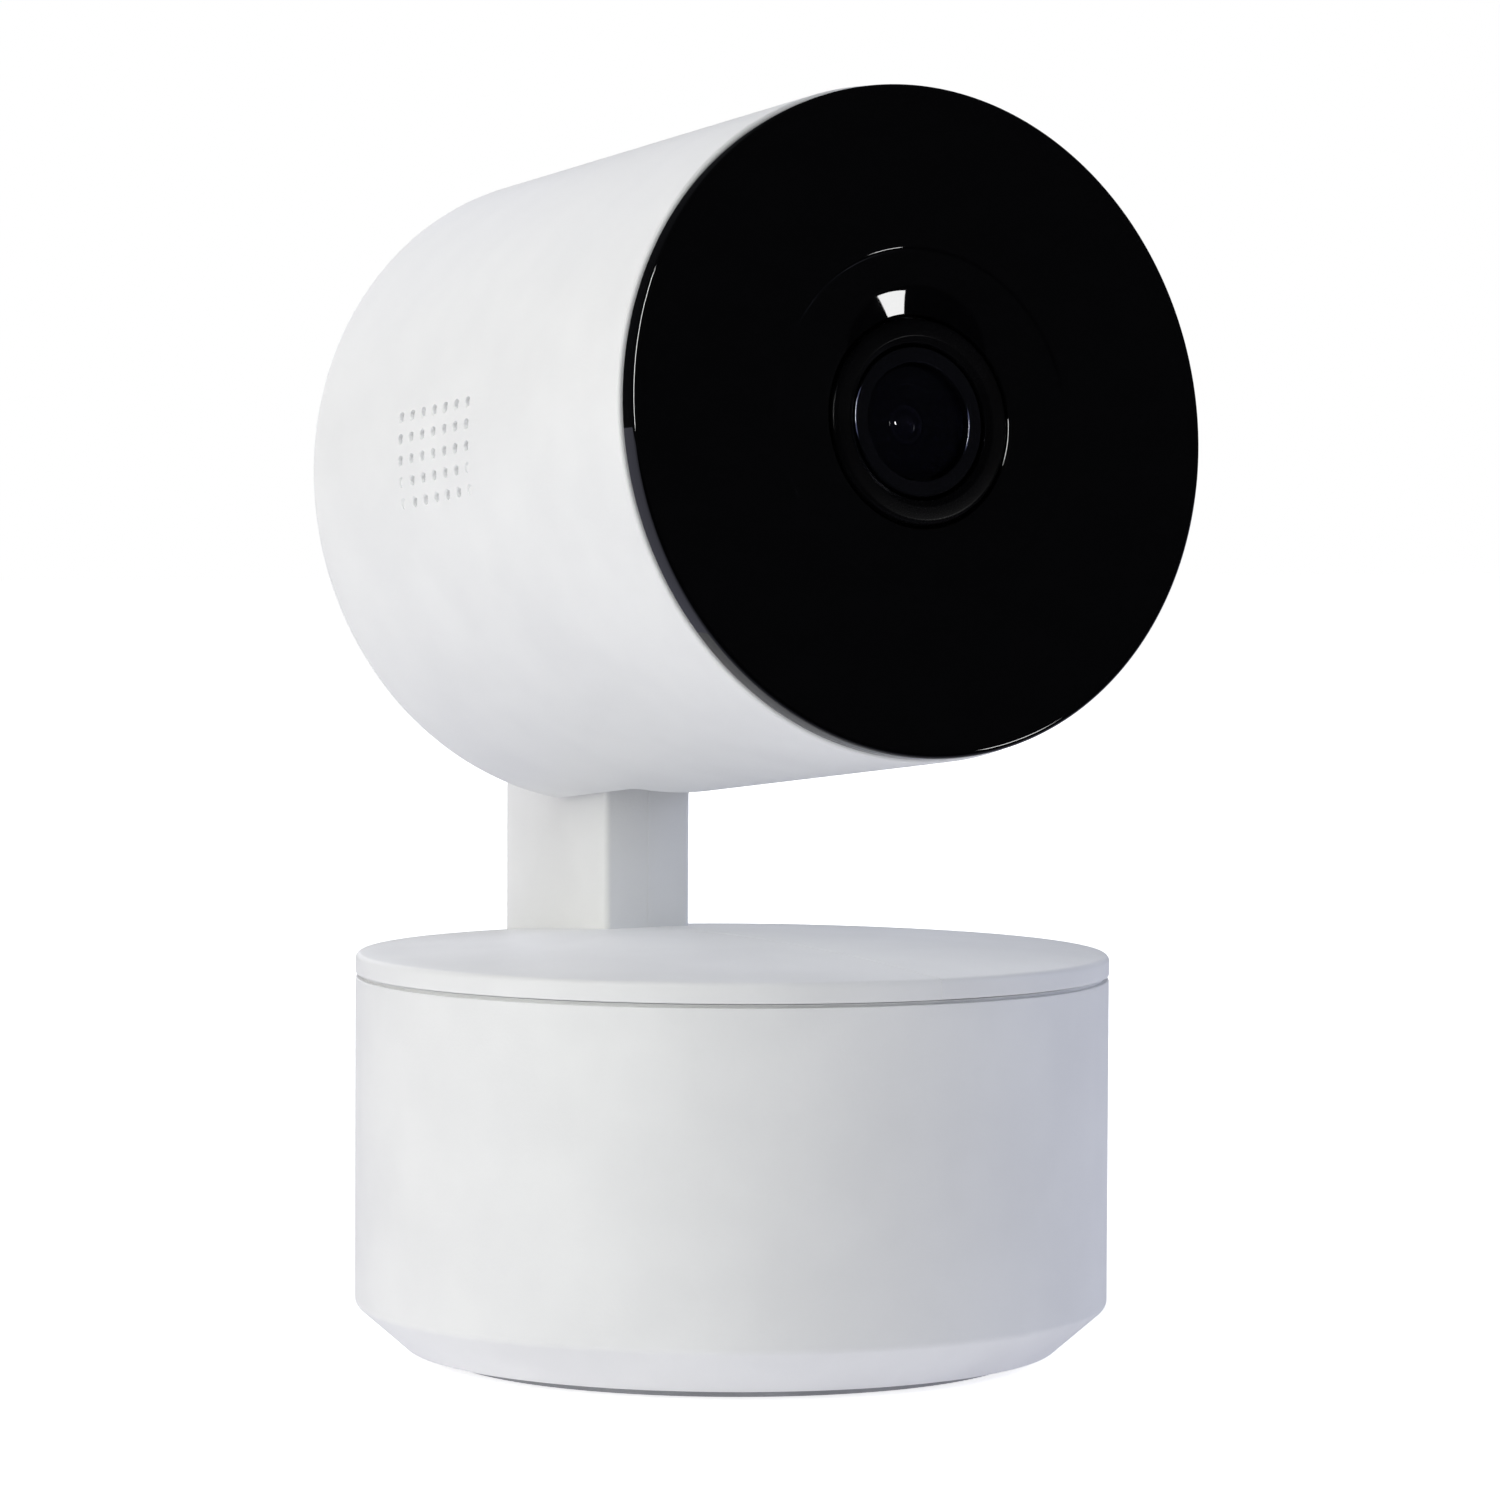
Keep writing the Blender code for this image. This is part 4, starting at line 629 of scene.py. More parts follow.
def screw_places():
    """The middle of each cover screw, as (x, y)."""
    places = []
    for number in range(1, 5):
        low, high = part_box(f"base_screw_{number}")
        places.append(((low.x + high.x) / 2.0, (low.y + high.y) / 2.0))
    return places


def bottom_plate():
    """The plate under the base, with a groove for the foot ring and a sink for each screw."""
    low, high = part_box("bottom_cover")
    groove_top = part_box("foot_pad")[1].z + 0.3 * MM
    groove_inner = 21.2 * MM
    groove_outer = 26.7 * MM
    edge = 0.15 * MM
    profile = rounded(
        [
            (0.0, high.z),
            (high.x, high.z),
            (high.x, low.z, edge),
            (groove_outer, low.z, edge),
            (groove_outer, groove_top),
            (groove_inner, groove_top),
            (groove_inner, low.z, edge),
            (0.0, low.z),
        ],
        closed=False,
        steps=3,
    )
    item = mesh_object("bottom_plate", lathe(profile, FINE_SIDES, closed=False))
    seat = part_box("base_screw_1")[1].z
    below = -1.0 * MM
    sink_rim = 2.6 * MM
    sink_radius = 2.3 * MM
    sink_floor = 2.2 * MM
    shank_hole = 1.25 * MM
    sink = [
        (0.0, below),
        (sink_rim, below),
        (sink_rim, low.z),
        (sink_radius, low.z + 0.3 * MM),
        (sink_radius, sink_floor),
        (shank_hole, sink_floor),
        (shank_hole, seat),
        (0.0, seat),
    ]
    tools = []
    for x, y in screw_places():
        tool = lathe(sink, SMALL_SIDES, closed=False)
        tool.transform(Matrix.Translation((x, y, 0.0)))
        tools.append(tool)
    combine(item, "DIFFERENCE", merged(tools))
    add_piece(item, "base", "white_shell", "bottom_cover")


def screw_solid(head_radius, head_height, shank_radius, length):
    """A pan-head screw pointing up, with the underside of its head at height 0 and a cross recess below."""
    core = 0.84 * shank_radius
    pitch = 0.5 * MM
    thread_start = 0.3 * MM
    thread = []
    for turn in range(int(0.8 * length / pitch)):
        height = thread_start + turn * pitch
        thread.append((shank_radius, height))
        thread.append((core, height + pitch / 2.0))
    edge = 0.6 * head_height
    profile = [(0.0, -head_height)]
    profile += arc((head_radius - edge, -0.4 * head_height), edge, -90.0, 0.0, 5)
    profile += [(head_radius, 0.0), *thread, (core, length - shank_radius), (0.0, length)]
    item = mesh_object("screw", lathe(profile, SMALL_SIDES, closed=False))
    arm = 0.14 * head_radius
    reach = 0.62 * head_radius
    below = -2.0 * head_height
    recess_floor = -0.45 * head_height
    for x, y in ((reach, arm), (arm, reach)):
        combine(item, "DIFFERENCE", prism(rectangle(-x, x, -y, y), below, recess_floor))
    return item


def cover_screws():
    low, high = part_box("base_screw_1")
    head_radius = (high.x - low.x) / 2.0
    head_height = 1.0 * MM
    shank_radius = 1.0 * MM
    degrees_apart = 37.0
    for number, (x, y) in enumerate(screw_places(), start=1):
        item = screw_solid(head_radius, head_height, shank_radius, high.z - low.z - head_height)
        item.name = f"cover_screw_{number}"
        turn = Matrix.Rotation(math.radians(degrees_apart * number), 4, "Z")
        item.data.transform(Matrix.Translation((x, y, low.z + head_height)) @ turn)
        add_piece(item, "base", "zinc_screw", f"base_screw_{number}")


def power_socket():
    """A reversible power socket: a drawn metal shell with a tongue in it."""
    low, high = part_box("usb_socket")
    middle_z = (low.z + high.z) / 2.0
    half_height = (high.z - low.z) / 2.0
    half_width = high.x
    sheet = 0.35 * MM
    floor = low.y + 1.2 * MM
    to_place = Matrix.Translation((0.0, 0.0, middle_z)) @ FACE_FRONT

    def stadium(inset, y_from, y_to):
        y = half_height - inset
        x = half_width - inset
        work = prism(rounded(rectangle(-x, x, -y, y, y * 0.98), steps=10), -y_to, -y_from)
        work.transform(to_place)
        return work

    item = mesh_object("power_socket", stadium(0.0, low.y, high.y))
    combine(item, "DIFFERENCE", stadium(sheet, floor, high.y + 1.0 * MM))
    add_piece(item, "base", "socket_metal", "usb_socket")
    x = 3.2 * MM
    y = 0.34 * MM
    tongue_front = high.y - 0.9 * MM
    work = round_edges(prism(rectangle(-x, x, -y, y), -tongue_front, -floor), 0.15 * MM, 3)
    work.transform(to_place)
    add_piece(mesh_object("socket_tongue", work), "base", "chip_black")


# ------------------------ turntable


STEM_HALF_WIDTH = 4.6 * MM
STEM_FRONT = 14.85 * MM
STEM_REAR = 33.6 * MM
SEAM_GAP = 0.002 * MM
RIGHT_HALF_PROUD = Vector((0.0, -0.035, 0.02)) * MM


def dome_height(radius):
    """The cap's top as a shallow dome that falls away towards its rim."""
    crown = 38.0 * MM
    fall = 1.55 * MM
    return crown - fall * (radius / BASE_RADIUS) ** 2


def cap_solid():
    """The domed cap with its rim, closed underneath."""
    rim_inner = 31.4 * MM
    rim_slope = 1.0 * MM
    thickness = 1.6 * MM
    stations = [radius * MM for radius in range(0, 33, 2)]
    top = [(radius, dome_height(radius)) for radius in stations]
    corner = [
        (stations[-1], dome_height(stations[-1])),
        (BASE_RADIUS, dome_height(BASE_RADIUS), 0.55 * MM),
        (BASE_RADIUS, CAP_BOTTOM, 0.12 * MM),
        (rim_inner, CAP_BOTTOM),
        (rim_inner - rim_slope, dome_height(rim_inner) - thickness),
    ]
    outside = rounded(corner, closed=False)
    inside = [radius for radius in reversed(stations) if radius < rim_inner - rim_slope]
    under = [(radius, dome_height(radius) - thickness) for radius in inside]
    return lathe(top + outside[1:] + under, FINE_SIDES, closed=False)


def stem_solid():
    """The stem from the side: a straight post, a round shoulder behind the head and an eye on the axle."""
    eye = 7.0 * MM
    shoulder = 7.0 * MM
    shoulder_height = 50.0 * MM
    front_foot = 36.9 * MM
    rear_foot = 35.8 * MM
    front_top = 54.0 * MM
    neck_front = 63.0 * MM
    neck_rear = 61.0 * MM
    outline = (
        [(STEM_FRONT, front_foot), (STEM_REAR, rear_foot)]
        + arc((STEM_REAR - shoulder, shoulder_height), shoulder, 0.0, 90.0, 16)
        + [(AXLE.y + eye, neck_rear)]
        + arc((AXLE.y, AXLE.z), eye, 0.0, 180.0, 40)
        + [(AXLE.y - eye, neck_front), (STEM_FRONT, front_top)]
    )
    work = prism(outline, -STEM_HALF_WIDTH, STEM_HALF_WIDTH)
    rims = [e for e in work.edges if any(abs(f.normal.z) > 0.9 for f in e.link_faces)]
    bevel(work, rims, 0.55 * MM, 4)
    work.transform(SIDE_ON)
    return work


def axle_holes():
    """The axle's bore, and the sunk hole of the screw that holds the two halves together."""
    low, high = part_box("tilt_axle")
    beyond = 8.0 * MM
    bore = pin((high.z - low.z) / 2.0 + 0.2 * MM, -beyond, beyond)
    bore.transform(Matrix.Translation(AXLE) @ FACE_LEFT)
    low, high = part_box("stem_screw")
    sink_floor = 2.9 * MM
    sink = pin((high.z - low.z) / 2.0 + 0.3 * MM, sink_floor, 9.0 * MM)
    shank_radius = 1.05 * MM
    shank = pin(shank_radius, -2.6 * MM, sink_floor + 0.1 * MM)
    to_screw = Matrix.Translation((0.0, (low.y + high.y) / 2.0, (low.z + high.z) / 2.0)) @ FACE_LEFT
    for work in (sink, shank):
        work.transform(to_screw)
    return bore, sink, shank


def turntable_cover(name, side, node):
    """One half of the cap and stem, left at side -1 and right at side 1.

    They meet at a hairline seam, where the right half stands slightly proud.
    """
    item = mesh_object(name, cap_solid())
    combine(item, "UNION", stem_solid())
    combine(item, "DIFFERENCE", *axle_holes())
    far = 60.0 * MM
    x_low, x_high = sorted((side * SEAM_GAP, side * far))
    keep = prism(rectangle(x_low, x_high, -far, far), 20.0 * MM, 90.0 * MM)
    combine(item, "INTERSECT", keep)
    if side > 0:
        item.data.transform(Matrix.Translation(RIGHT_HALF_PROUD))
    add_piece(item, "turntable", "white_shell", node)


# ------------------------ head shell


GRILLE_WALL = 0.38 * MM


def grille_holes():
    """(back, up, through) of each speaker hole. The two lowest of the end columns are only dimples."""
    pitch, row_pitch = 2.0 * MM, 1.95 * MM
    columns, rows, dimpled_rows = 7, 5, 2
    centre_back = head_middle("speaker", BACK)
    centre_up = head_middle("speaker", UP) - 0.25 * MM
    for column in range(columns):
        for row in range(rows):
            back = centre_back + (column - (columns - 1) / 2.0) * pitch
            up = centre_up + (row - (rows - 1) / 2.0) * row_pitch
            at_end = column in (0, columns - 1)
            yield back, up, not (at_end and row < dimpled_rows)


def grille_plate(radius, thickness, half_up, half_back):
    """A curved plate behind the speaker's holes, which follows the left wall from this outer radius."""
    back = head_middle("speaker", BACK)
    up = head_middle("speaker", UP)
    low = 180.0 - math.degrees(math.asin((up + half_up) / radius))
    high = 180.0 - math.degrees(math.asin((up - half_up) / radius))
    outline = arc((0.0, 0.0), radius, low, high, 24)
    outline += arc((0.0, 0.0), radius - thickness, high, low, 24)
    work = prism(outline, -back - half_back, -back + half_back)
    work.transform(FACE_FRONT)
    return work


def grille_tool():
    """The tools that pierce or dimple the left wall, each with a small countersink at the surface."""
    radius = 0.42 * MM
    sink = 0.09 * MM
    through_depth = 3.0 * MM
    dimple_depth = 0.16 * MM
    sides = 20
    tools = []
    for back, up, through in grille_holes():
        surface = math.sqrt(HEAD_RADIUS**2 - up**2)
        depth = through_depth if through else dimple_depth
        profile = [
            (0.0, surface - depth),
            (radius, surface - depth),
            (radius, surface - sink),
            (radius + sink, surface),
            (radius + 3.0 * sink, surface + 2.0 * sink),
            (0.0, surface + 2.0 * sink),
        ]
        tool = lathe(profile, sides, closed=False)
        tool.transform(Matrix.Translation((0.0, back, up)) @ FACE_LEFT)
        tools.append(tool)
    return merged(tools)


def box_tool(across, back, up, width, steps):
    """A box in the head with rounded edges, from its (low, high) in each direction."""
    return round_edges(prism(rectangle(*across, *back), *up), width, steps)


def head_housing():
    """The head's tube and rounded rear, with the stem's slot, card slot, reset hole and grille."""
    wall = 2.0 * MM
    inside = HEAD_RADIUS - wall
    front = -0.3 * MM
    rear = -HEAD_LENGTH
    beyond = 6.0 * MM
    profile = rounded(
        [
            (0.0, rear + wall),
            (inside, rear + wall, 0.6 * MM),
            (inside, front, 0.2 * MM),
            (HEAD_RADIUS, front, 0.35 * MM),
            (HEAD_RADIUS, rear, 1.5 * MM),
            (0.0, rear),
        ],
        closed=False,
        steps=8,
    )
    item = mesh_object("head_housing", head_lathe(profile, FINE_SIDES, closed=False))
    slot_half = 5.4 * MM
    slot_back = (40.5 * MM, HEAD_LENGTH + beyond)
    slot_up = (-HEAD_RADIUS - beyond, -7.5 * MM)
    slot = box_tool((-slot_half, slot_half), slot_back, slot_up, 1.0 * MM, 4)
    card_half = 6.2 * MM
    card_half_height = 1.1 * MM
    card_back = (HEAD_LENGTH - 2.0 * wall, HEAD_LENGTH + beyond)
    middle_up = head_middle("card_socket", UP)
    card_up = (middle_up - card_half_height, middle_up + card_half_height)
    card = box_tool((-card_half, card_half), card_back, card_up, 0.5 * MM, 4)
    reset_radius = 1.3 * MM
    reset_rim = 1.9 * MM
    reset_at = (head_middle("reset_button", ACROSS), HEAD_LENGTH, head_middle("reset_button", UP))
    reset_profile = [
        (0.0, -beyond),
        (reset_rim, -beyond),
        (reset_rim, -0.05 * MM),
        (reset_radius, 0.45 * MM),
        (reset_radius, beyond),
        (0.0, beyond),
    ]
    reset = head_lathe(reset_profile, SMALL_SIDES, closed=False, at=reset_at)
    pocket = grille_plate(HEAD_RADIUS - GRILLE_WALL, 2.4 * MM, half_up=6.0 * MM, half_back=8.0 * MM)
    combine(item, "DIFFERENCE", slot, card, reset, pocket, grille_tool())
    item.data.transform(HEAD)
    add_piece(item, "head", "white_shell", "head_shell")


def acoustic_mesh():
    """The white mesh bonded in the recess behind the speaker's holes."""
    radius = HEAD_RADIUS - GRILLE_WALL - 0.02 * MM
    work = grille_plate(radius, 0.25 * MM, half_up=5.6 * MM, half_back=7.6 * MM)
    item = mesh_object("acoustic_mesh", work, HEAD)
    add_piece(item, "head", "mesh_cloth", slot="foam")


def reset_plunger():
    low, high = head_span("reset_button", BACK)
    across = head_middle("reset_button", ACROSS)
    up = head_middle("reset_button", UP)
    radius = 1.0 * MM
    collar = head_span("reset_button", ACROSS)[1] - across
    collar_front = -low - 1.5 * MM
    collar_back = -low - 2.3 * MM
    profile = rounded(
        [
            (0.0, -low),
            (radius, -low, 0.2 * MM),
            (radius, collar_front),
            (collar, collar_front),
            (collar, collar_back),
            (radius, collar_back),
            (radius, -high, 0.25 * MM),
            (0.0, -high),
        ],
        closed=False,
    )
    item = mesh_object("reset_plunger", head_lathe(profile, SMALL_SIDES, False, (across, 0.0, up)), HEAD)
    add_piece(item, "reset", "grey_plastic", "reset_button")


# ------------------------ front panel and lens


PANEL_HOLE = 9.15 * MM
DISH_LIP = 14.85 * MM
DISH_LIP_SLOPE = math.radians(40.0)
DISH_LIP_LENGTH = 0.24 * MM
DISH_START = 14.4 * MM


def dish_slope(radius):
    """The dish falls by 4 degrees at its lip and steepens to 12 degrees at the lens."""
    share = (DISH_START - radius) / (DISH_START - PANEL_HOLE)
    return math.radians(4.0 + 8.0 * share)


def dish_profile():
    """The outline from the panel's flat face to the lens hole: a small soft lip, then a smooth fall."""
    foot = DISH_LIP - DISH_LIP_LENGTH * math.cos(DISH_LIP_SLOPE)
    height = PANEL_PROUD - DISH_LIP_LENGTH * math.sin(DISH_LIP_SLOPE)
    points = [(DISH_LIP, PANEL_PROUD, 0.5 * MM), (foot, height)]
    height -= (foot - DISH_START) * math.tan(dish_slope(DISH_START))
    steps = 30
    step = (DISH_START - PANEL_HOLE) / steps
    for i in range(steps):
        points.append((DISH_START - i * step, height))
        height -= step * math.tan(dish_slope(DISH_START - (i + 0.5) * step))
    points.append((PANEL_HOLE, height, 0.4 * MM))
    return points


def front_glass():
    """The gloss panel over the shell's mouth, with a rounded edge and a shallow dish round the lens."""
    sides = 256
    profile = rounded(
        [
            (PANEL_HOLE, 0.0),
            *dish_profile()[::-1],
            (PANEL_RADIUS, PANEL_PROUD, 0.45 * MM),
            (PANEL_RADIUS, 0.0, 0.1 * MM),
        ],
        steps=12,
    )
    item = mesh_object("front_glass", head_lathe(profile, sides), HEAD)
    add_piece(item, "head", "gloss_black", "front_panel")


def lens_bezel():
    """The raised ring round the lens, with a flat satin face between two rounded edges."""
    outer = head_span("lens_ring", ACROSS)[1]
    low, high = head_span("lens_ring", BACK)
    inner = 6.8 * MM
    front = -low
    profile = rounded(
        [
            (inner, front - 0.35 * MM, 0.2 * MM),
            (inner + 0.55 * MM, front, 0.25 * MM),
            (outer, front, 0.45 * MM),
            (outer, -high),
            (inner, -high),
        ],
        steps=8,
    )
    item = mesh_object("lens_bezel", head_lathe(profile, FINE_SIDES), HEAD)
    add_piece(item, "head", "satin_black", "lens_ring")


def lens_tube():
    """The lens barrel: its front rim, the front glass's seat and the threaded body inside the holder."""
    low, high = head_span("lens_barrel", BACK)
    rim = head_span("lens_barrel", ACROSS)[1]
    seat = 5.15 * MM
    body = 6.0 * MM
    bore = 4.2 * MM
    rim_rear = -1.2 * MM
    seat_floor = -1.9 * MM
    core = body - 0.2 * MM
    pitch = 0.5 * MM
    start = -1.6 * MM
    turns = 18
    thread = []
    for turn in range(turns):
        thread.append((body, start - turn * pitch))
        thread.append((core, start - (turn + 0.5) * pitch))
    profile = rounded(
        [
            (seat, -low, 0.2 * MM),
            (rim, -low, 0.2 * MM),
            (rim, rim_rear),
            (body, rim_rear),
            *thread,
            (core, -high),
            (bore, -high),
            (bore, seat_floor),
            (seat, seat_floor),
        ],
        steps=4,
    )
    item = mesh_object("lens_tube", head_lathe(profile, FINE_SIDES), HEAD)
    add_piece(item, "head", "tube_black", "lens_barrel", slot="satin_black")


def dome(radius, apex, edge, steps):
    """(radius, height) points of a spherical cap from its apex height to its edge height."""
    rise = apex - edge
    sphere = (radius**2 + rise**2) / (2.0 * rise)
    half = math.asin(radius / sphere)
    angles = [half * i / steps for i in range(steps + 1)]
    return [(sphere * math.sin(a), apex - sphere * (1.0 - math.cos(a))) for a in angles]


def front_element():
    """The thin domed front glass in its seat."""
    radius = head_span("front_lens", ACROSS)[1]
    low = head_span("front_lens", BACK)[0]
    outside = dome(radius, -low, -low - 0.42 * MM, 24)
    inside = dome(radius, 0.12 * MM, -0.1 * MM, 24)
    work = head_lathe(outside + inside[::-1], MEDIUM_SIDES, closed=False)
    item = mesh_object("front_element", work, HEAD)
    add_piece(item, "head", "lens_glass", "front_lens")


def lens_cone():
    """The stepped black cone behind the front glass, which keeps stray light out of the inner lens."""
    outer = head_span("lens_baffle", ACROSS)[1]
    opening = 1.85 * MM
    front = -0.4 * MM
    floor = -1.2 * MM
    rear = -1.6 * MM
    steps = 5
    rim = 4.35 * MM
    profile = [(outer, front), (rim, front, 0.05 * MM)]
    for step in range(steps):
        share = (step + 1) / steps
        radius = rim + (opening - rim) * share
        height = front + (floor - front) * share
        profile.append((radius + 0.09 * MM, height + 0.10 * MM))
        profile.append((radius, height))
    profile += [(opening, rear), (outer, rear)]
    item = mesh_object("lens_cone", head_lathe(rounded(profile, steps=2), MEDIUM_SIDES), HEAD)
    add_piece(item, "head", "satin_black", "lens_baffle")


def inner_element():
    """The small inner lens that shows in the middle, on its cell in the barrel."""
    low, high = head_span("inner_lens", BACK)
    cell = head_span("inner_lens", ACROSS)[1]
    glass = 1.3 * MM
    ring = 1.7 * MM
    ring_front = -1.12 * MM
    cell_front = -2.2 * MM
    top = dome(glass, -low, -low - 0.85 * MM, 16)
    rim = rounded(
        [
            top[-1],
            (glass + 0.04 * MM, ring_front, 0.08 * MM),
            (ring, ring_front, 0.14 * MM),
            (ring, cell_front),
            (cell, cell_front),
            (cell, -high),
            (0.0, -high),
        ],
        closed=False,
    )
    profile = top[:-1] + rim
    item = mesh_object("inner_element", head_lathe(profile, MEDIUM_SIDES, closed=False), HEAD)
    add_piece(item, "head", "inner_glass", "inner_lens", slot="lens_glass")


# ------------------------ carried-over CAD nodes


def finish_cad_nodes():
    """Every CAD node that stays visible gets the finished material of its slot in the record."""
    slots = {part["node"]: part["material_slot"] for part in frame["record"]["subparts"]}
    for name, node in frame["nodes"].items():
        if not node.hide_render:
            node.data.materials.clear()
            node.data.materials.append(FINISHES[slots[name]]())


# ------------------------ studio


FLOOR_GLOW = (0.29, 0.285, 0.305)


class Shaders:
    """Short ways to mix shaders by the kind of ray that sees them."""

    def __init__(self, tree):
        self.tree = tree
        self.rays = tree.nodes.new("ShaderNodeLightPath").outputs

    def glow(self, kind, colour, strength=1.0):
        """An emission or background shader. The strength is a number or a node's output."""
        made = self.tree.nodes.new(kind)
        made.inputs["Color"].default_value = (*colour, 1.0)
        if isinstance(strength, float):
            made.inputs["Strength"].default_value = strength
        else:
            self.tree.links.new(strength, made.inputs["Strength"])
        return made.outputs[0]

    def choose(self, factor, otherwise, chosen):
        made = self.tree.nodes.new("ShaderNodeMixShader")
        for place, source in enumerate((self.rays[factor], otherwise, chosen)):
            self.tree.links.new(source, made.inputs[place])
        return made.outputs[0]

    def add(self, first, second):
        made = self.tree.nodes.new("ShaderNodeAddShader")
        self.tree.links.new(first, made.inputs[0])
        self.tree.links.new(second, made.inputs[1])
        return made.outputs[0]


def studio_floor():
    """A plain pale floor that fades to white, throws soft light up and looks dark to the black panel."""
    work = bmesh.new()
    bmesh.ops.create_grid(work, x_segments=1, y_segments=1, size=4.0)
    item = mesh_object("studio_floor", work)
    surface = Surface("studio_floor")
    tone = surface.noise(0.12, detail=2.0)
    surface.colour(surface.blend(tone, (0.90, 0.90, 0.905), (0.93, 0.93, 0.935)))
    surface.set(Roughness=0.9, Specular_IOR_Level=0.1)
    tree = surface.tree
    shaders = Shaders(tree)
    length = tree.nodes.new("ShaderNodeVectorMath")
    length.operation = "LENGTH"
    surface.link(surface.place, length, 0)
    split = tree.nodes.new("ShaderNodeSeparateXYZ")
    surface.link(surface.place, split, 0)
    whiteness = surface.ramp(length.outputs["Value"], 0.05, 0.5, to_low=0.66, to_high=1.0)
    reflected = surface.ramp(split.outputs["Y"], -0.08, 0.0, to_low=0.015, to_high=0.6)
    plain = surface.shader.outputs[0]
    lit = shaders.add(plain, shaders.glow("ShaderNodeEmission", FLOOR_GLOW))
    seen = shaders.add(plain, shaders.glow("ShaderNodeEmission", (1.0, 1.0, 1.0), whiteness))
    mirrored = shaders.glow("ShaderNodeEmission", (0.80, 0.81, 1.0), reflected)
    mixed = shaders.choose("Is Camera Ray", shaders.choose("Is Glossy Ray", lit, mirrored), seen)
    tree.links.new(mixed, tree.nodes["Material Output"].inputs["Surface"])
    item.data.materials.append(surface.material)


def studio_world():
    """White behind the object, and a dark studio in reflections."""
    world = bpy.data.worlds.new("studio")
    bpy.context.scene.world = world
    world.use_nodes = True
    tree = world.node_tree
    tree.nodes.clear()
    output = tree.nodes.new("ShaderNodeOutputWorld")
    shaders = Shaders(tree)
    unlit = shaders.glow("ShaderNodeBackground", (0.0, 0.0, 0.0), 0.0)
    mirrored = shaders.glow("ShaderNodeBackground", (0.85, 0.87, 1.0), 0.035)
    seen = shaders.glow("ShaderNodeBackground", (1.0, 1.0, 1.0))
    mixed = shaders.choose("Is Camera Ray", shaders.choose("Is Glossy Ray", unlit, mirrored), seen)
    tree.links.new(mixed, output.inputs["Surface"])


TARGET = Vector((0.0, 0.0, 60.0 * MM))


def softbox(name, place, size, power, colour=(1.0, 1.0, 1.0), roll=0.0):
    """A rectangular lamp at this place, aimed at the object, that the camera doesn't see."""
    data = bpy.data.lights.new(name, "AREA")
    data.shape = "RECTANGLE"
    data.size, data.size_y = size
    data.energy = power
    data.color = colour
    item = bpy.data.objects.new(name, data)
    bpy.context.scene.collection.objects.link(item)
    item.location = place
    aim = (TARGET - item.location).to_track_quat("-Z", "Y")
    item.rotation_euler = (aim @ Quaternion((0.0, 0.0, 1.0), math.radians(roll))).to_euler()
    item.visible_camera = False
    return item


def reflection_card(name, place, size, radiance, roll, colour=(1.0, 1.0, 1.0)):
    """A lamp of this brightness per area that only shows in reflections."""
    power = radiance * math.pi * size[0] * size[1]
    card = softbox(name, place, size, power, colour, roll)
    card.visible_diffuse = False
    card.visible_transmission = False
    return card


GLOSSY_FRONT = ("front_glass", "lens_tube", "front_element", "inner_element")
LENS_WALLS = ("lens_bezel", "lens_tube", "front_element")
BLACK_FRONT = (*GLOSSY_FRONT, "lens_cone", "lens_bezel")


def light_link(name, pieces, state):
    """A collection that limits a lamp's light or shading to these pieces, or leaves them out of it."""
    made = bpy.data.collections.new(name)
    for piece in pieces:
        made.objects.link(bpy.data.objects[piece])
    for entry in made.collection_objects:
        entry.light_linking.link_state = state
    return made


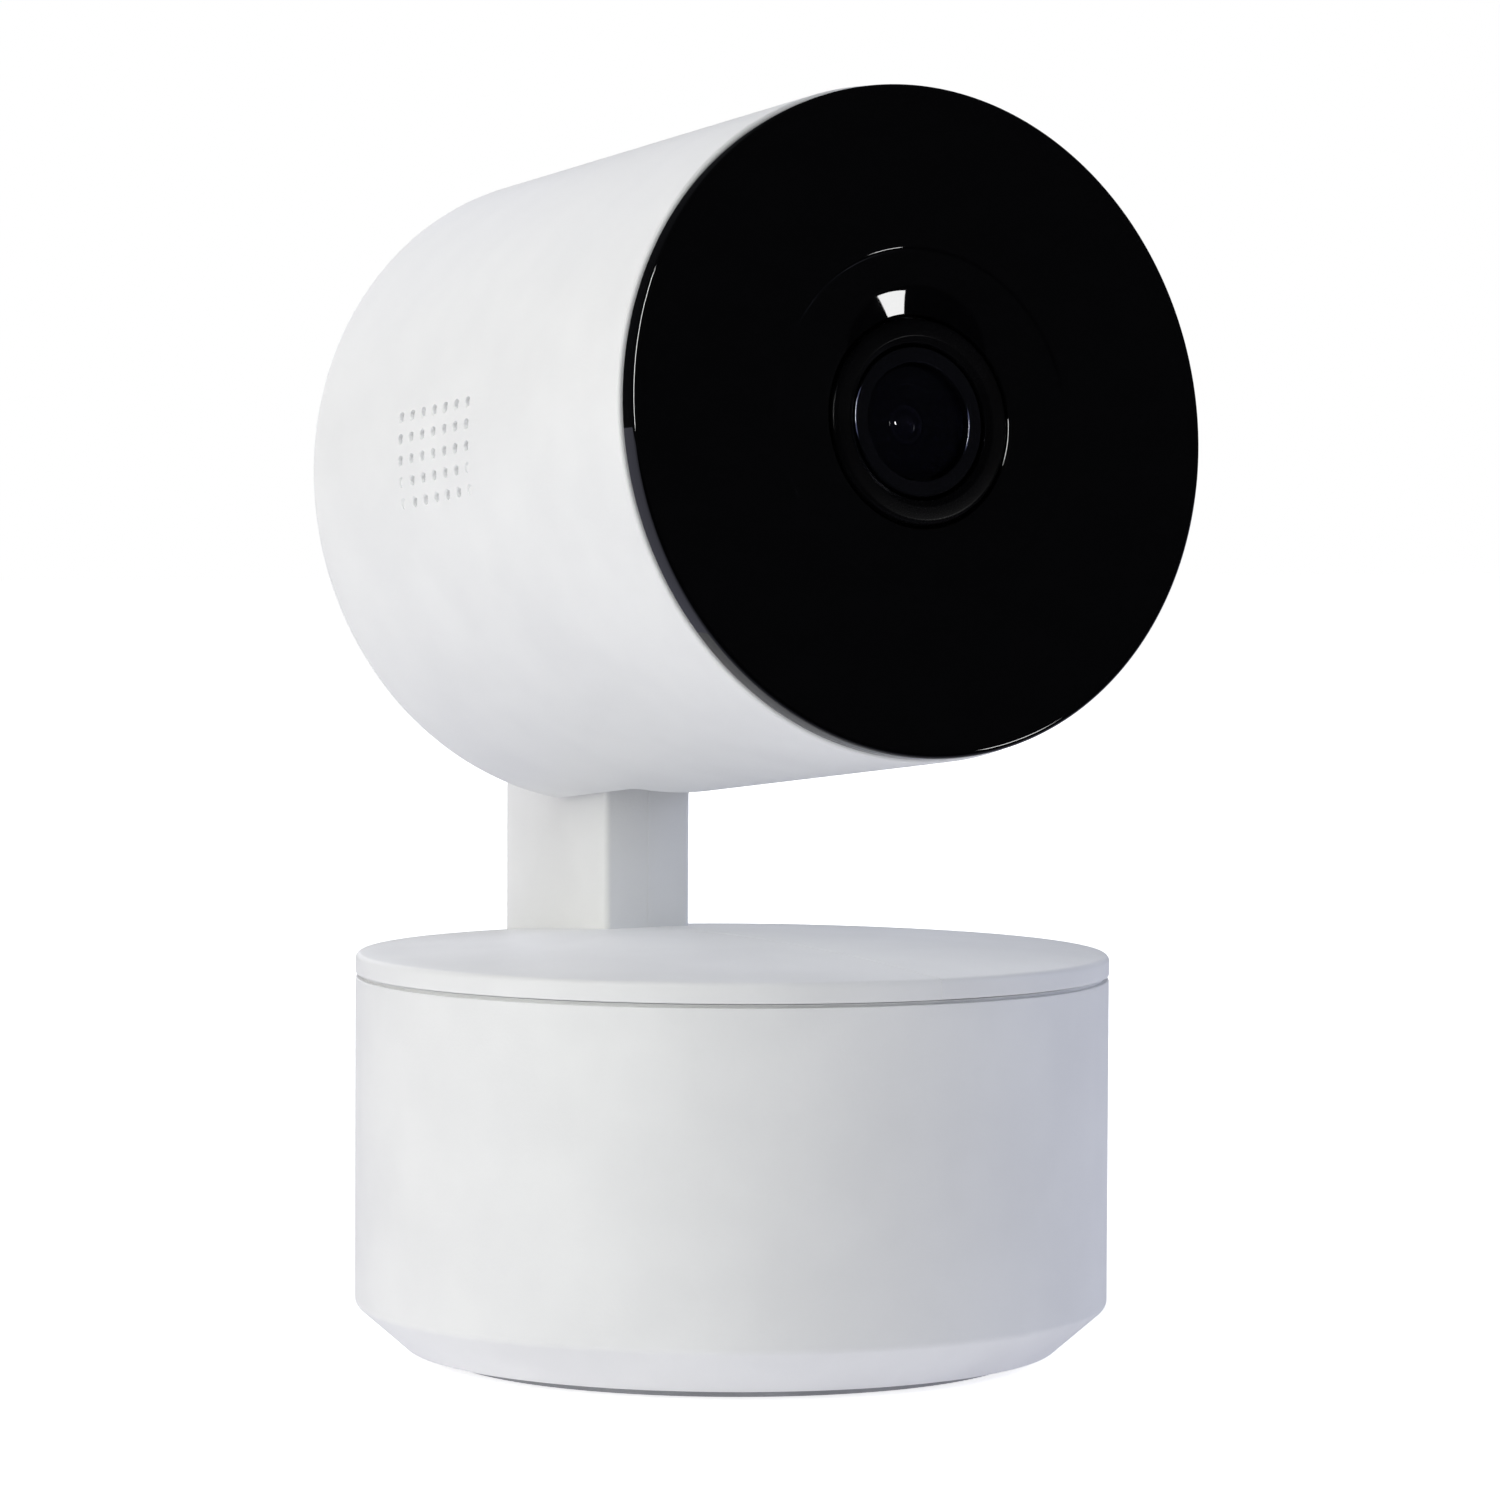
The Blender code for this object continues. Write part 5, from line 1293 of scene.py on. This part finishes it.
def studio_lights():
    """Soft lamps for the pale surfaces, and three cards that only the black front reflects.

    The strip draws the line down the panel's edge and the arcs round the lens, and the lens card draws the
    patch in the dish. The raised bezel doesn't shade the barrel from the strip or the glow.
    """
    near, middle_way, far = 1.2, 1.3, 1.5
    square = (0.9, 0.9)
    boxes = (
        ("key", (-0.9, -0.25, 0.35), near, (0.9, 1.2), 7.4, (0.99, 1.0, 0.87)),
        ("fill", (0.9, -0.35, 0.3), far, (1.0, 1.0), 7.9, (0.76, 0.82, 1.0)),
        ("top_left", (-0.6, -0.3, 0.8), near, square, 4.4, (0.88, 0.89, 1.0)),
        ("rear_left", (-0.75, 0.6, 0.4), middle_way, square, 2.5, (1.0, 0.93, 0.95)),
        ("rear", (0.1, 1.0, 0.45), middle_way, square, 4.6, (0.93, 0.94, 1.0)),
        ("rear_right", (0.8, 0.6, 0.45), middle_way, square, 3.3, (0.93, 0.95, 1.0)),
    )
    pale = light_link("all_but_black_front", BLACK_FRONT, "EXCLUDE")
    for name, direction, distance, size, power, colour in boxes:
        lamp = softbox(name, TARGET + Vector(direction).normalized() * distance, size, power, colour)
        lamp.light_linking.receiver_collection = pale
    strip_place = TARGET + Vector((-0.875, -0.187, 0.447)) * near
    strip = reflection_card("strip_card", strip_place, (0.10, 1.03), radiance=48.0, roll=34.0)
    strip.light_linking.receiver_collection = light_link("glossy_front", GLOSSY_FRONT, "INCLUDE")
    unshaded = light_link("all_but_lens_walls", LENS_WALLS, "EXCLUDE")
    strip.light_linking.blocker_collection = unshaded
    glow_place = TARGET + Vector((-0.85, -0.52, 0.05))
    blue = (0.50, 0.56, 1.0)
    glow = reflection_card("lens_glow", glow_place, (0.9, 1.8), radiance=2.2, roll=0.0, colour=blue)
    glow.light_linking.receiver_collection = light_link("lens_edges", ("lens_tube",), "INCLUDE")
    glow.light_linking.blocker_collection = unshaded
    card_place = Vector((301.5, -420.5, 54.2)) * MM
    card = reflection_card("lens_card", card_place, (34.0 * MM, 54.0 * MM), radiance=20.0, roll=14.5)
    panel_and_ring = light_link("panel_and_ring", ("front_glass", "lens_bezel"), "INCLUDE")
    card.light_linking.receiver_collection = panel_and_ring


def photo_camera():
    """The camera low in front and to the left, with a long lens."""
    data = bpy.data.cameras.new("photo_camera")
    data.sensor_width = 36.0
    data.lens = 141.7
    data.clip_start = 0.05
    data.clip_end = 50.0
    item = bpy.data.objects.new("photo_camera", data)
    bpy.context.scene.collection.objects.link(item)
    item.location = (-0.28064, -0.45249, 0.07823)
    aim = Vector((0.52901, 0.84759, -0.04413)).to_track_quat("-Z", "Y")
    roll = Matrix.Rotation(math.radians(0.28), 3, "Z").to_quaternion()
    item.rotation_mode = "QUATERNION"
    item.rotation_quaternion = aim @ roll
    bpy.context.scene.camera = item


# ------------------------ assembly


def build_base():
    base_housing()
    foot_ring()
    bottom_plate()
    cover_screws()
    power_socket()


def build_turntable():
    turntable_cover("turntable_cover_left", -1, "turntable_left")
    turntable_cover("turntable_cover_right", 1, "turntable_right")


def build_head():
    head_housing()
    acoustic_mesh()
    reset_plunger()
    front_glass()
    lens_bezel()
    lens_tube()
    front_element()
    lens_cone()
    inner_element()


def build_studio():
    studio_floor()
    studio_world()
    studio_lights()
    photo_camera()
    bpy.context.scene.view_settings.view_transform = "Standard"


build_base()
build_turntable()
build_head()
finish_cad_nodes()
build_studio()
